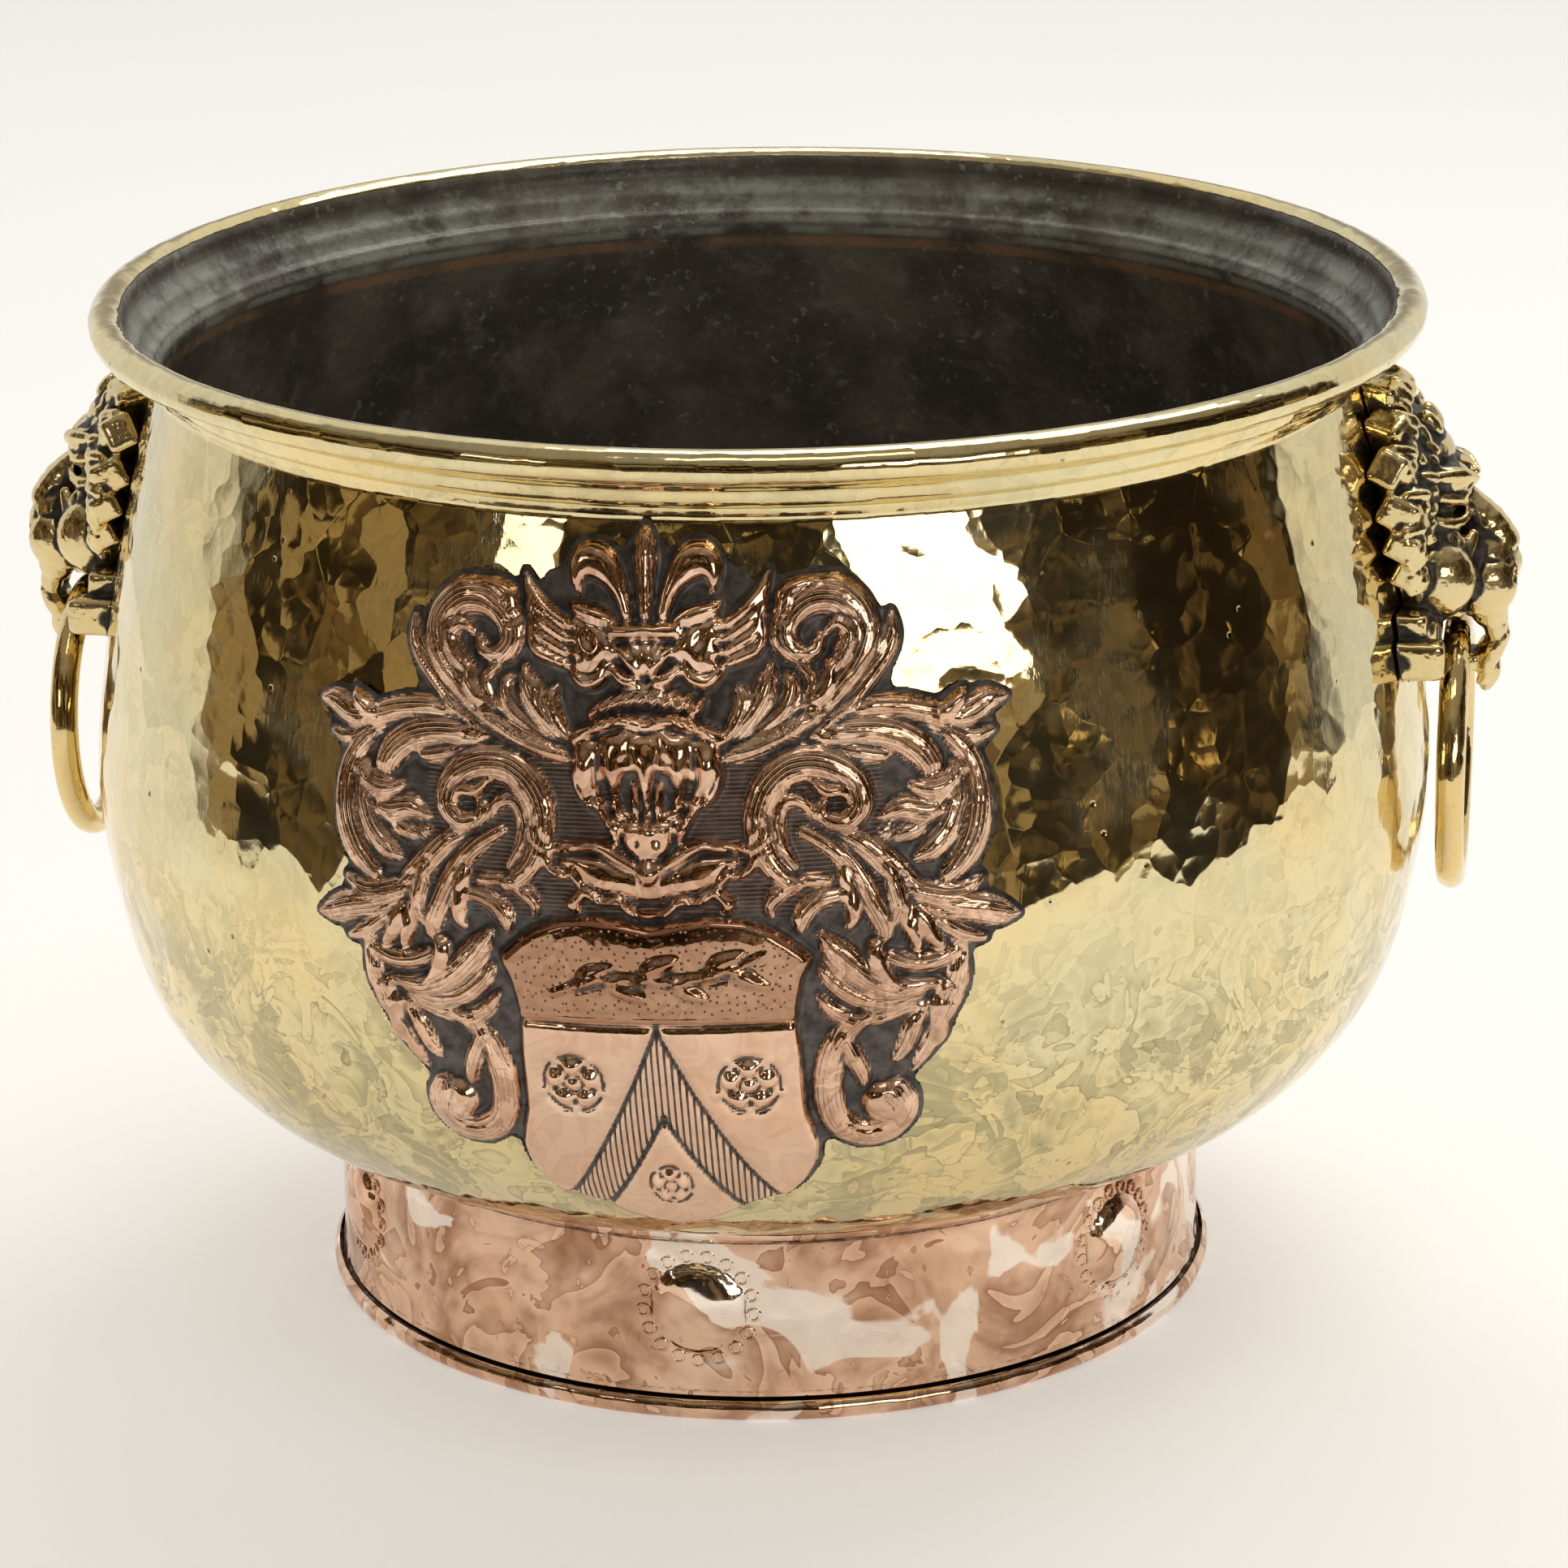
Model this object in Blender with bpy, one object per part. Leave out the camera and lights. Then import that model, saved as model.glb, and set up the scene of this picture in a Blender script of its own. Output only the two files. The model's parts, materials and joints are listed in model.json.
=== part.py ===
"""A brass planter pot on a copper foot, with a copper crest and two lion-mask ring handles.

Metres, +Z up. The origin is on the pot's axis, level with the underside of the foot.
The crest faces -Y, and the two handles are on +X and -X.
"""

import math

import bmesh
import bpy
from mathutils import Matrix, Vector, geometry

# Driving dimensions, in metres. Radii are measured from the pot's axis.
SEGMENTS = 40  # facets round the pot and its foot, with one facing each handle
WIRE_SIDES = 6  # facets round the wires rolled into the edges
GAP = 0.0003  # clearance between pieces that touch

# Pot body: one brass sheet, from the floor up to the rolled rim
BODY_SHEET = 0.0012
SEAT_RADIUS = 0.1270  # where the wall sits on the foot
SEAT_HEIGHT = 0.0580
FLOOR_RADIUS = 0.088
FLOOR_DROP = 0.0160  # the floor below the seat
BELLY_RADIUS = 0.1937
BELLY_RISE = 0.1050  # the widest place above the seat
BODY_DEPTH = 0.2160  # the neck above the seat
NECK_RADIUS = 0.172
RIM_FLARE = 0.0180  # the rim beyond the neck
RIM_RISE = 0.02165  # the rim's top above the neck
BEAD_RADIUS = 0.00485
RIM_CURL = (196, 155, 115, 75, 35, -5, -45, -85, -122)  # degrees round the bead, from inside to the tuck

# Shape of the wall: shares of the way from the seat or the neck (0) to the belly (1), as (height, radius)
LOWER_WALL = ((0.10, 0.445), (0.352, 0.804), (0.678, 0.954))
UPPER_WALL = ((0.243, 0.336), (0.586, 0.70))

# Foot: one copper sheet with embossed bosses
FOOT_SHEET = 0.0010
FOOT_MARGIN = 0.0005  # the foot's outside beyond the seat
COLLAR_DEPTH = 0.0042
COLLAR_BULGE = 0.0014
HEM_RADIUS = 0.0034
HEM_FLARE = 0.0037  # the rolled edge beyond the band
HEM_FLAT = math.radians(25)  # half the angle of the flat that the foot stands on
BOSSES = 6
BOSS_RADIUS = 0.0133
BOSS_LIFT = 0.0024  # the bosses above the middle of the band
BOSS_RISE = 0.0034

# Ring handles
RING_RADIUS = 0.03585
RING_WIRE = 0.00415
RING_STANDOFF = 0.00315  # between the hanging ring and the widest part of the pot
HINGE_DROP = 0.0750  # the hinge below the neck
MOUTH_CLEARANCE = 0.0008

# Lion masks
MASK_HALF_WIDTH = 0.036
MUZZLE_STANDOUT = 0.0170  # the tip of the nose beyond the hinge
JAW_HALF_WIDTH = 0.009
JAW_WALL = 0.0045

# Studs that hold the masks, with their heights above the hinge
STUD_RADIUS = 0.0020
STUD_RISES = {"upper": 0.0520, "lower": 0.0225}
STUD_IN_MASK = 0.0075
WASHER_MARGIN = 0.0037
WASHER_THICKNESS = 0.0008
NUT_MARGIN = 0.0017
NUT_THICKNESS = 0.0032
STUD_TAIL = 0.0012

# Crest: a copper sheet dressed to the wall
CREST_SHEET = 0.0015
CREST_RELIEF = 0.0035
CREST_HALF_WIDTH = 0.101
CREST_FOOT = 0.0180  # its lowest point above the seat
CREST_HEAD = 0.0005  # its highest point above the neck
CREST_TILT = math.radians(1.9)
CREST_SHIFT = 0.0015
CREST_GRAIN = 0.0070  # spacing of the extra cuts that carry the relief
SHIELD_HALF_WIDTH = 0.040
SHIELD_BEVEL = 0.004
SHIELD_TOP = 0.47  # shares of the crest's height
SHIELD_TURN = 0.18

# Sizes that follow from those above
FLOOR_HEIGHT = SEAT_HEIGHT - FLOOR_DROP
BELLY_HEIGHT = SEAT_HEIGHT + BELLY_RISE
NECK_HEIGHT = SEAT_HEIGHT + BODY_DEPTH
RIM_RADIUS = NECK_RADIUS + RIM_FLARE
RIM_HEIGHT = NECK_HEIGHT + RIM_RISE
FOOT_RADIUS = SEAT_RADIUS + FOOT_MARGIN
HEM_REACH = FOOT_RADIUS + HEM_FLARE
HINGE_REACH = BELLY_RADIUS + RING_STANDOFF + RING_WIRE
HINGE_HEIGHT = NECK_HEIGHT - HINGE_DROP
CREST_BOTTOM = SEAT_HEIGHT + CREST_FOOT
CREST_TOP = NECK_HEIGHT + CREST_HEAD

BRASS = (0.80, 0.64, 0.30, 1)
AGED_BRASS = (0.55, 0.41, 0.20, 1)
COPPER = (0.86, 0.47, 0.32, 1)
IRON = (0.20, 0.19, 0.18, 1)


def clear_scene():
    for obj in list(bpy.data.objects):
        bpy.data.objects.remove(obj, do_unlink=True)


def make_material(name, colour, roughness):
    material = bpy.data.materials.new(name)
    material.use_nodes = True
    shader = material.node_tree.nodes["Principled BSDF"]
    shader.inputs["Base Color"].default_value = colour
    shader.inputs["Metallic"].default_value = 1.0
    shader.inputs["Roughness"].default_value = roughness
    return material


def object_from(name, bm, material=None):
    """A scene object holding the mesh of bm, with its faces turned outwards."""
    bmesh.ops.recalc_face_normals(bm, faces=bm.faces[:])
    if bm.calc_volume(signed=True) < 0:
        bmesh.ops.reverse_faces(bm, faces=bm.faces[:])
    mesh = bpy.data.meshes.new(name)
    bm.to_mesh(mesh)
    bm.free()
    if material:
        mesh.materials.append(material)
    obj = bpy.data.objects.new(name, mesh)
    bpy.context.scene.collection.objects.link(obj)
    return obj


def as_cutter(obj):
    obj.hide_render = True
    obj.display_type = "WIRE"
    return obj


def boolean(obj, other, operation):
    modifier = obj.modifiers.new(operation.title() + " " + other.name, "BOOLEAN")
    modifier.operation = operation
    modifier.object = other
    modifier.solver = "EXACT"


def shape_now(obj):
    """The object's mesh with its modifiers worked in."""
    bpy.context.view_layer.update()
    graph = bpy.context.evaluated_depsgraph_get()
    return bpy.data.meshes.new_from_object(obj.evaluated_get(graph))


def shade(mesh, angle):
    mesh.shade_smooth()
    mesh.set_sharp_from_angle(angle=math.radians(angle))


# Lines in the (radius, height) plane


def smooth_line(points, steps):
    """A smooth line through the points, with this many steps between each two of them."""
    line = [Vector(points[0])]
    for i in range(len(points) - 1):
        before = Vector(points[max(i - 1, 0)])
        start = Vector(points[i])
        end = Vector(points[i + 1])
        after = Vector(points[min(i + 2, len(points) - 1)])
        leave = start + (end - before) / 6
        arrive = end - (after - start) / 6
        line += geometry.interpolate_bezier(start, leave, arrive, end, steps + 1)[1:]
    return [point.to_2d() for point in line]


def arc(centre, radius, angles):
    """Points on a circle at these angles, in degrees."""
    found = []
    for angle in angles:
        turn = math.radians(angle)
        found.append(Vector(centre) + radius * Vector((math.cos(turn), math.sin(turn))))
    return found


def offset_line(line, distance):
    """The line moved sideways, to the right of its direction, with mitred corners."""
    moved = []
    last = len(line) - 1
    for i, point in enumerate(line):
        before = (line[max(i, 1)] - line[max(i, 1) - 1]).normalized()
        after = (line[min(i + 1, last)] - line[min(i, last - 1)]).normalized()
        normal = Vector((before.y + after.y, -before.x - after.x)).normalized()
        stretch = normal.dot(Vector((before.y, -before.x)))
        moved.append(point + normal * distance / stretch)
    return moved


def ring_vertices(bm, point):
    """The vertices of one turned point: a ring of them, or one on the axis."""
    if point.x < 1e-6:
        return [bm.verts.new((0, 0, point.y))]
    found = []
    for i in range(SEGMENTS):
        turn = 2 * math.pi * (i + 0.5) / SEGMENTS
        found.append(bm.verts.new((point.x * math.cos(turn), point.x * math.sin(turn), point.y)))
    return found


def turned(loop):
    """A closed outline in the (radius, height) plane, turned about the Z axis."""
    bm = bmesh.new()
    rings = [ring_vertices(bm, point) for point in loop]
    for first, second in zip(rings, rings[1:] + rings[:1]):
        for i in range(SEGMENTS):
            j = (i + 1) % SEGMENTS
            corners = [ring[k % len(ring)] for ring, k in ((first, i), (first, j), (second, j), (second, i))]
            face = list(dict.fromkeys(corners))
            if len(face) > 2:
                bm.faces.new(face)
    return bm


def sheet_outline(line, thickness):
    """The outline of a sheet of this thickness centred on the line."""
    outline = offset_line(line, thickness / 2) + offset_line(line, -thickness / 2)[::-1]
    for point in outline:
        if point.x < thickness:
            point.x = 0
    return outline


# Pot body


def wall_points():
    """The outer face of the wall from the seat on the foot up to the neck."""
    points = [(SEAT_RADIUS, SEAT_HEIGHT)]
    for height, radius in LOWER_WALL:
        points.append(
            (
                SEAT_RADIUS + radius * (BELLY_RADIUS - SEAT_RADIUS),
                SEAT_HEIGHT + height * (BELLY_HEIGHT - SEAT_HEIGHT),
            )
        )
    points.append((BELLY_RADIUS, BELLY_HEIGHT))
    for height, radius in reversed(UPPER_WALL):
        points.append(
            (
                NECK_RADIUS + radius * (BELLY_RADIUS - NECK_RADIUS),
                NECK_HEIGHT + height * (BELLY_HEIGHT - NECK_HEIGHT),
            )
        )
    points.append((NECK_RADIUS, NECK_HEIGHT))
    return points


def wall_line():
    return smooth_line(wall_points(), 2)


def bead_centre():
    return Vector((RIM_RADIUS - BEAD_RADIUS, RIM_HEIGHT - BEAD_RADIUS))


def cove_middle():
    """A point half way up the hollow moulding between the neck and the rim's bead."""
    return Vector((NECK_RADIUS, NECK_HEIGHT)).lerp(bead_centre(), 0.4) + Vector((0, 0.0010))


def body_line():
    """The middle of the sheet from the centre of the floor out to the tucked edge of the rim."""
    half = BODY_SHEET / 2
    floor = FLOOR_HEIGHT + half
    wall = offset_line(wall_line(), -half)
    bottom = smooth_line(
        [
            (FLOOR_RADIUS, floor),
            (FLOOR_RADIUS + 0.45 * (SEAT_RADIUS - FLOOR_RADIUS), floor + 0.22 * (SEAT_HEIGHT - FLOOR_HEIGHT)),
            tuple(wall[0]),
        ],
        2,
    )
    bead = bead_centre()
    bend = BEAD_RADIUS - half
    cove = [cove_middle(), Vector((bead.x - bend - 0.0004, bead.y - bend))]
    return [Vector((0, floor))] + bottom[:-1] + wall + cove + arc(bead, bend, RIM_CURL)


def make_body(material):
    body = object_from("pot_body", turned(sheet_outline(body_line(), BODY_SHEET)), material)
    shade(body.data, 40)
    return body


def make_wire(name, centre, radius, sides, material):
    turns = [360 * (i + 0.5) / sides for i in range(sides)]
    wire = object_from(name, turned(arc(centre, radius, turns)), material)
    shade(wire.data, 50)
    return wire


# Foot


def hem_centre():
    bend = HEM_RADIUS - FOOT_SHEET / 2
    return Vector((HEM_REACH - HEM_RADIUS, bend * math.cos(HEM_FLAT) + FOOT_SHEET / 2))


def foot_line():
    """The middle of the foot's sheet from its top edge down to the tucked edge of the hem."""
    half = FOOT_SHEET / 2
    band = FOOT_RADIUS - half
    top = SEAT_HEIGHT - GAP - half
    collar = [
        Vector((band, top)),
        Vector((band + COLLAR_BULGE, top - 0.3 * COLLAR_DEPTH)),
        Vector((band + COLLAR_BULGE, top - 0.7 * COLLAR_DEPTH)),
        Vector((band, top - COLLAR_DEPTH)),
    ]
    hem = hem_centre()
    flat = math.degrees(HEM_FLAT)
    groove = Vector((band + 0.0005, hem.y + 1.9 * HEM_RADIUS))
    curl = arc(hem, HEM_RADIUS - half, (150, 200, 270 - flat, 270 + flat, 340, 380, 418))
    return collar + [groove] + curl


def make_boss(turn):
    """An embossed dome, sunk through the foot's sheet."""
    bm = bmesh.new()
    bmesh.ops.create_uvsphere(bm, u_segments=12, v_segments=6, radius=1)
    depth = BOSS_RISE + FOOT_SHEET
    spread = BOSS_RADIUS / math.sqrt(1 - (FOOT_SHEET / depth) ** 2)
    band_top = SEAT_HEIGHT - COLLAR_DEPTH
    height = (band_top + 2 * HEM_RADIUS) / 2 + BOSS_LIFT
    place = Matrix.Translation((FOOT_RADIUS - FOOT_SHEET, 0, height))
    shape = Matrix.Diagonal((depth, spread, spread, 1))
    upright = Matrix.Rotation(math.pi / 2, 4, "Y")
    bmesh.ops.transform(bm, matrix=Matrix.Rotation(turn, 4, "Z") @ place @ shape @ upright, verts=bm.verts)
    return object_from("boss_shape", bm)


def make_foot(material):
    foot = object_from("foot_ring", turned(sheet_outline(foot_line(), FOOT_SHEET)), material)
    for i in range(BOSSES):
        boss = as_cutter(make_boss(2 * math.pi * i / BOSSES - math.pi / 2))
        boolean(foot, boss, "UNION")
    return foot


# Closed shapes that the masks and the crest are built up from


def hull(points):
    bm = bmesh.new()
    for point in points:
        bm.verts.new(point)
    made = bmesh.ops.convex_hull(bm, input=bm.verts)
    bmesh.ops.delete(bm, geom=list(set(made["geom_interior"] + made["geom_unused"])), context="VERTS")
    bmesh.ops.dissolve_limit(bm, angle_limit=0.01, verts=bm.verts[:], edges=bm.edges[:])
    return bm


def rounded_lump(centre, size, sides=12):
    """An egg of this size (half-widths) about a centre."""
    bm = bmesh.new()
    bmesh.ops.create_uvsphere(bm, u_segments=sides, v_segments=sides // 2, radius=1)
    shape = Matrix.Translation(centre) @ Matrix.Diagonal((*size, 1))
    bmesh.ops.transform(bm, matrix=shape, verts=bm.verts)
    return bm


def block(low, high, taper=0.75):
    """A box whose outer (+X) face is smaller than its inner one."""
    middle = Vector((0, (low[1] + high[1]) / 2, (low[2] + high[2]) / 2))
    points = []
    for x, share in ((low[0], 1), (high[0] - 0.2 * (high[0] - low[0]), 1), (high[0], taper)):
        for y in (low[1], high[1]):
            for z in (low[2], high[2]):
                points.append(
                    (x, middle.y + share * (y - middle.y), middle.z + share * (z - middle.z))
                )
    return hull(points)


def union_all(name, shapes):
    """One object made of overlapping closed shapes."""
    whole = object_from(name, shapes[0])
    for shape in shapes[1:]:
        boolean(whole, as_cutter(object_from(name + "_shape", shape)), "UNION")
    return whole


# Lion masks, modelled on the +X side


def mask_shapes():
    """The mask's lumps: skull, brow, muzzle, cheeks, jaw, mane locks and side lugs."""
    wide = MASK_HALF_WIDTH
    hinge = HINGE_HEIGHT
    root = wall_radius(NECK_HEIGHT) - 0.002  # inside the wall, where the body is cut away
    lip = hinge + RING_WIRE + 0.0045
    nose = HINGE_REACH + MUZZLE_STANDOUT
    middle = wall_radius(hinge + 0.039)
    shapes = [
        rounded_lump((middle, 0, hinge + 0.039), (0.018, 0.82 * wide, 0.034), 16),
        rounded_lump((middle + 0.009, 0, hinge + 0.048), (0.0135, 0.55 * wide, 0.0105)),
        rounded_lump((nose - 0.016, 0, lip + 0.0125), (0.016, 0.0135, 0.0125)),
        block((root, -0.013, hinge + 0.002), (nose - 0.0245, 0.013, hinge + 0.027), 0.9),
        block((root, -0.0070, hinge + 0.063), (wall_radius(hinge + 0.0695) + 0.0105, 0.0070, hinge + 0.0755)),
    ]
    jaw_reach = HINGE_REACH + RING_WIRE + MOUTH_CLEARANCE + JAW_WALL
    jaw_low = hinge - RING_WIRE - MOUTH_CLEARANCE - JAW_WALL - 0.0015
    jaw = ((root, -JAW_HALF_WIDTH, jaw_low), (jaw_reach, JAW_HALF_WIDTH, hinge + 0.0055))
    shapes.append(block(*jaw, 0.7))
    for side in (-1, 1):
        cheek = (nose - 0.028, side * 0.0165, lip + 0.0145)
        shapes.append(rounded_lump(cheek, (0.0145, 0.0115, 0.0115)))
        lug = sorted((side * 0.76 * RING_RADIUS, side * wide))
        lug_reach = HINGE_REACH - 0.0020
        shapes.append(block((root, lug[0], hinge - 0.0055), (lug_reach, lug[1], hinge + 0.006)))
        bridge = sorted((side * 0.5 * wide, side * (wide - 0.003)))
        bridge_top = (nose - 0.027, bridge[1], hinge + 0.0175)
        shapes.append(block((root, bridge[0], hinge + 0.0055), bridge_top, 0.9))
        for turn, reach in ((-8, 0.0100), (17, 0.0110), (42, 0.0105), (66, 0.0095)):
            angle = math.radians(turn)
            y = side * (wide - 0.0065) * math.cos(angle)
            z = hinge + 0.035 + 0.0335 * math.sin(angle)
            lock = wall_radius(z) + reach
            shapes.append(block((root, y - 0.0062, z - 0.0056), (lock, y + 0.0062, z + 0.0056)))
    return shapes


def wall_radius(height):
    """The wall's outer radius at this height."""
    line = wall_line()
    for low, high in zip(line, line[1:]):
        if low.y <= height <= high.y:
            return low.lerp(high, (height - low.y) / (high.y - low.y)).x
    return NECK_RADIUS


def mouth_cutter():
    """A spool on the hinge's axis that the curved ring turns in."""
    half = JAW_HALF_WIDTH + 0.006
    rows = 6
    sides = 16
    bm = bmesh.new()
    rings = []
    for row in range(rows + 1):
        y = half * (2 * row / rows - 1)
        sag = RING_RADIUS - math.sqrt(RING_RADIUS**2 - y**2)
        radius = (RING_WIRE + MOUTH_CLEARANCE + sag) / math.cos(math.pi / sides)
        ring = []
        for i in range(sides):
            turn = 2 * math.pi * i / sides
            x = HINGE_REACH + radius * math.cos(turn)
            ring.append(bm.verts.new((x, y, HINGE_HEIGHT + radius * math.sin(turn))))
        rings.append(ring)
    for first, second in zip(rings, rings[1:]):
        for i in range(sides):
            j = (i + 1) % sides
            bm.faces.new((first[i], first[j], second[j], second[i]))
    bm.faces.new(rings[0])
    bm.faces.new(rings[-1])
    return as_cutter(object_from("mouth_cutter", bm))


def body_cutter():
    """The pot's outside with a clearance, closed down to the axis."""
    skin = offset_line(body_line(), BODY_SHEET / 2 + GAP)[: -len(RIM_CURL) - 1]
    skin[0].x = 0
    loop = skin + [Vector((0, skin[-1].y))]
    return as_cutter(object_from("body_cutter", turned(loop)))


# Fasteners through the wall


def wall_frame(height):
    """A place on the wall's outer face at +X: its X axis points straight out of the wall."""
    line = wall_line()
    for low, high in zip(line, line[1:]):
        if low.y <= height <= high.y:
            flat = math.cos(math.pi / SEGMENTS)
            point = low.lerp(high, (height - low.y) / (high.y - low.y))
            slope = math.atan2((low.x - high.x) * flat, high.y - low.y)
            place = Matrix.Translation((point.x * flat, 0, point.y))
            return place @ Matrix.Rotation(-slope, 4, "Y")
    raise ValueError("the stud is not on the wall")


def rod(start, end, radius, sides):
    """A cylinder along X from start to end."""
    bm = bmesh.new()
    bmesh.ops.create_cone(
        bm, cap_ends=True, segments=sides, radius1=radius, radius2=radius, depth=end - start
    )
    place = Matrix.Translation(((start + end) / 2, 0, 0)) @ Matrix.Rotation(math.pi / 2, 4, "Y")
    bmesh.ops.transform(bm, matrix=place, verts=bm.verts)
    return bm


def tube(start, end, outer, inner, sides, bore_sides):
    """A short tube along X whose outside and bore may have different numbers of sides."""
    outside = object_from("tube", rod(start, end, outer, sides))
    bore = as_cutter(object_from("bore", rod(start - 0.001, end + 0.001, inner, bore_sides)))
    boolean(outside, bore, "DIFFERENCE")
    mesh = shape_now(outside)
    bpy.data.objects.remove(outside)
    bpy.data.objects.remove(bore)
    return mesh


def fastener_meshes(material):
    """The stud, washer and nut, along X, with the wall's outer face at X = 0."""
    washer_face = -BODY_SHEET - GAP
    nut_face = washer_face - WASHER_THICKNESS - GAP
    tail = nut_face - NUT_THICKNESS - STUD_TAIL
    stud = bpy.data.meshes.new("stud")
    bm = rod(tail, STUD_IN_MASK, STUD_RADIUS, 12)
    bm.to_mesh(stud)
    bm.free()
    bore = STUD_RADIUS + GAP
    washer = tube(washer_face - WASHER_THICKNESS, washer_face, bore + WASHER_MARGIN, bore, 16, 12)
    nut = tube(nut_face - NUT_THICKNESS, nut_face, bore + NUT_MARGIN, bore, 6, 12)
    meshes = {"stud": stud, "washer": washer, "nut": nut}
    for mesh in meshes.values():
        mesh.materials.append(material)
    return meshes


def stud_hole(height):
    """The hole through the wall and into the back of the mask."""
    bm = rod(-5 * BODY_SHEET, STUD_IN_MASK + GAP, STUD_RADIUS + GAP, 12)
    bmesh.ops.transform(bm, matrix=wall_frame(height), verts=bm.verts)
    return bm


def make_handles(body, materials):
    """Both handles: mask, ring and fasteners. The -X one is the +X one turned half round the pot."""
    mask = union_all("mask_shape", mask_shapes())
    boolean(mask, body_cutter(), "DIFFERENCE")
    boolean(mask, mouth_cutter(), "DIFFERENCE")
    fasteners = fastener_meshes(materials["brass"])
    for rise in STUD_RISES.values():
        boolean(mask, as_cutter(object_from("mask_hole", stud_hole(HINGE_HEIGHT + rise))), "DIFFERENCE")
    as_cutter(mask)
    mask_mesh = shape_now(mask)
    mask_mesh.materials.append(materials["cast"])
    shade(mask_mesh, 35)
    ring_mesh = ring_shape(materials["brass"])
    for side, turn in (("right", 0), ("left", math.pi)):
        half_round = Matrix.Rotation(turn, 4, "Z")
        place_copy("lion_mask_" + side, mask_mesh, half_round)
        hinge = Matrix.Translation((HINGE_REACH, 0, HINGE_HEIGHT))
        place_copy("ring_handle_" + side, ring_mesh, half_round @ hinge)
        for level, rise in STUD_RISES.items():
            height = HINGE_HEIGHT + rise
            spot = half_round @ wall_frame(height)
            for kind, mesh in fasteners.items():
                place_copy(f"mask_{kind}_{side}_{level}", mesh, spot)
            hole = as_cutter(object_from("wall_hole", stud_hole(height)))
            hole.matrix_world = half_round
            boolean(body, hole, "DIFFERENCE")


def place_copy(name, mesh, matrix):
    obj = bpy.data.objects.new(name, mesh)
    bpy.context.scene.collection.objects.link(obj)
    obj.matrix_world = matrix
    return obj


def ring_shape(material):
    """The ring, hanging from its hinge: the origin is the middle of the wire at its top."""
    around = 36
    sides = 8
    bm = bmesh.new()
    rings = []
    for i in range(around):
        turn = 2 * math.pi * i / around
        out = Vector((0, math.sin(turn), math.cos(turn)))
        ring = []
        for j in range(sides):
            angle = 2 * math.pi * (j + 0.5) / sides
            point = out * (RING_RADIUS + RING_WIRE * math.cos(angle))
            point.x = RING_WIRE * math.sin(angle)
            point.z -= RING_RADIUS
            ring.append(bm.verts.new(point))
        rings.append(ring)
    for first, second in zip(rings, rings[1:] + rings[:1]):
        for i in range(sides):
            j = (i + 1) % sides
            bm.faces.new((first[i], first[j], second[j], second[i]))
    bmesh.ops.recalc_face_normals(bm, faces=bm.faces[:])
    mesh = bpy.data.meshes.new("ring")
    bm.to_mesh(mesh)
    bm.free()
    mesh.materials.append(material)
    shade(mesh, 60)
    return mesh


# Crest. It is drawn flat, as (across, through, up), and then wrapped onto the wall.

# The right half of the sheet's edge, from the top point to the bottom one, in shares of the
# half-width and of the height from the bottom.
CREST_EDGE = (
    (0.0, 1.0), (0.045, 0.972), (0.08, 0.945), (0.13, 0.972), (0.215, 0.967), (0.25, 0.935),
    (0.31, 0.945), (0.345, 0.92), (0.365, 0.898), (0.42, 0.928), (0.51, 0.943), (0.60, 0.937),
    (0.69, 0.908), (0.75, 0.862), (0.765, 0.812), (0.75, 0.777), (0.87, 0.785), (0.96, 0.787),
    (1.0, 0.765), (0.975, 0.705), (0.955, 0.65), (0.925, 0.59), (0.865, 0.535), (0.895, 0.51),
    (0.985, 0.458), (0.875, 0.413), (0.835, 0.373), (0.775, 0.312), (0.745, 0.267), (0.695, 0.25),
    (0.71, 0.217), (0.675, 0.171), (0.595, 0.138), (0.505, 0.134), (0.44, 0.151), (0.43, 0.121),
    (0.375, 0.071), (0.265, 0.035), (0.12, 0.0126), (0.0, 0.0),
)  # fmt: skip


def crest_edge():
    """The whole edge of the sheet, flat, going round."""
    right = []
    for across, up in CREST_EDGE:
        height = CREST_BOTTOM + up * (CREST_TOP - CREST_BOTTOM)
        right.append((across * CREST_HALF_WIDTH, height))
    left = [(-across, up) for across, up in right[-2:0:-1]]
    return right + left


# The raised work, as (across, up, half-width, half-height, share of the full relief), in shares of the
# crest's half-width and height. What isn't on the middle line stands on both sides of it.
CREST_DOMES = (
    (0, 0.655, 0.208, 0.0932, 1),
    (0, 0.768, 0.149, 0.0277, 0.8),
    (0, 0.819, 0.124, 0.0302, 0.8),
    (0, 0.917, 0.0545, 0.0756, 0.8),
    (0, 0.524, 0.267, 0.0554, 0.7),
    (0.158, 0.932, 0.0693, 0.0302, 0.7),
    (0.287, 0.872, 0.0545, 0.0605, 0.7),
    (0.248, 0.781, 0.0594, 0.0504, 0.7),
    (0.485, 0.872, 0.144, 0.0579, 1),
    (0.663, 0.836, 0.0792, 0.0705, 0.7),
    (0.455, 0.64, 0.163, 0.0756, 1),
    (0.792, 0.741, 0.168, 0.0353, 0.8),
    (0.822, 0.625, 0.099, 0.0806, 0.9),
    (0.614, 0.534, 0.178, 0.0353, 0.7),
    (0.772, 0.458, 0.158, 0.0302, 0.8),
    (0.594, 0.393, 0.178, 0.0353, 0.8),
    (0.614, 0.307, 0.129, 0.0504, 0.8),
    (0.574, 0.202, 0.109, 0.0554, 0.9),
)


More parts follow.
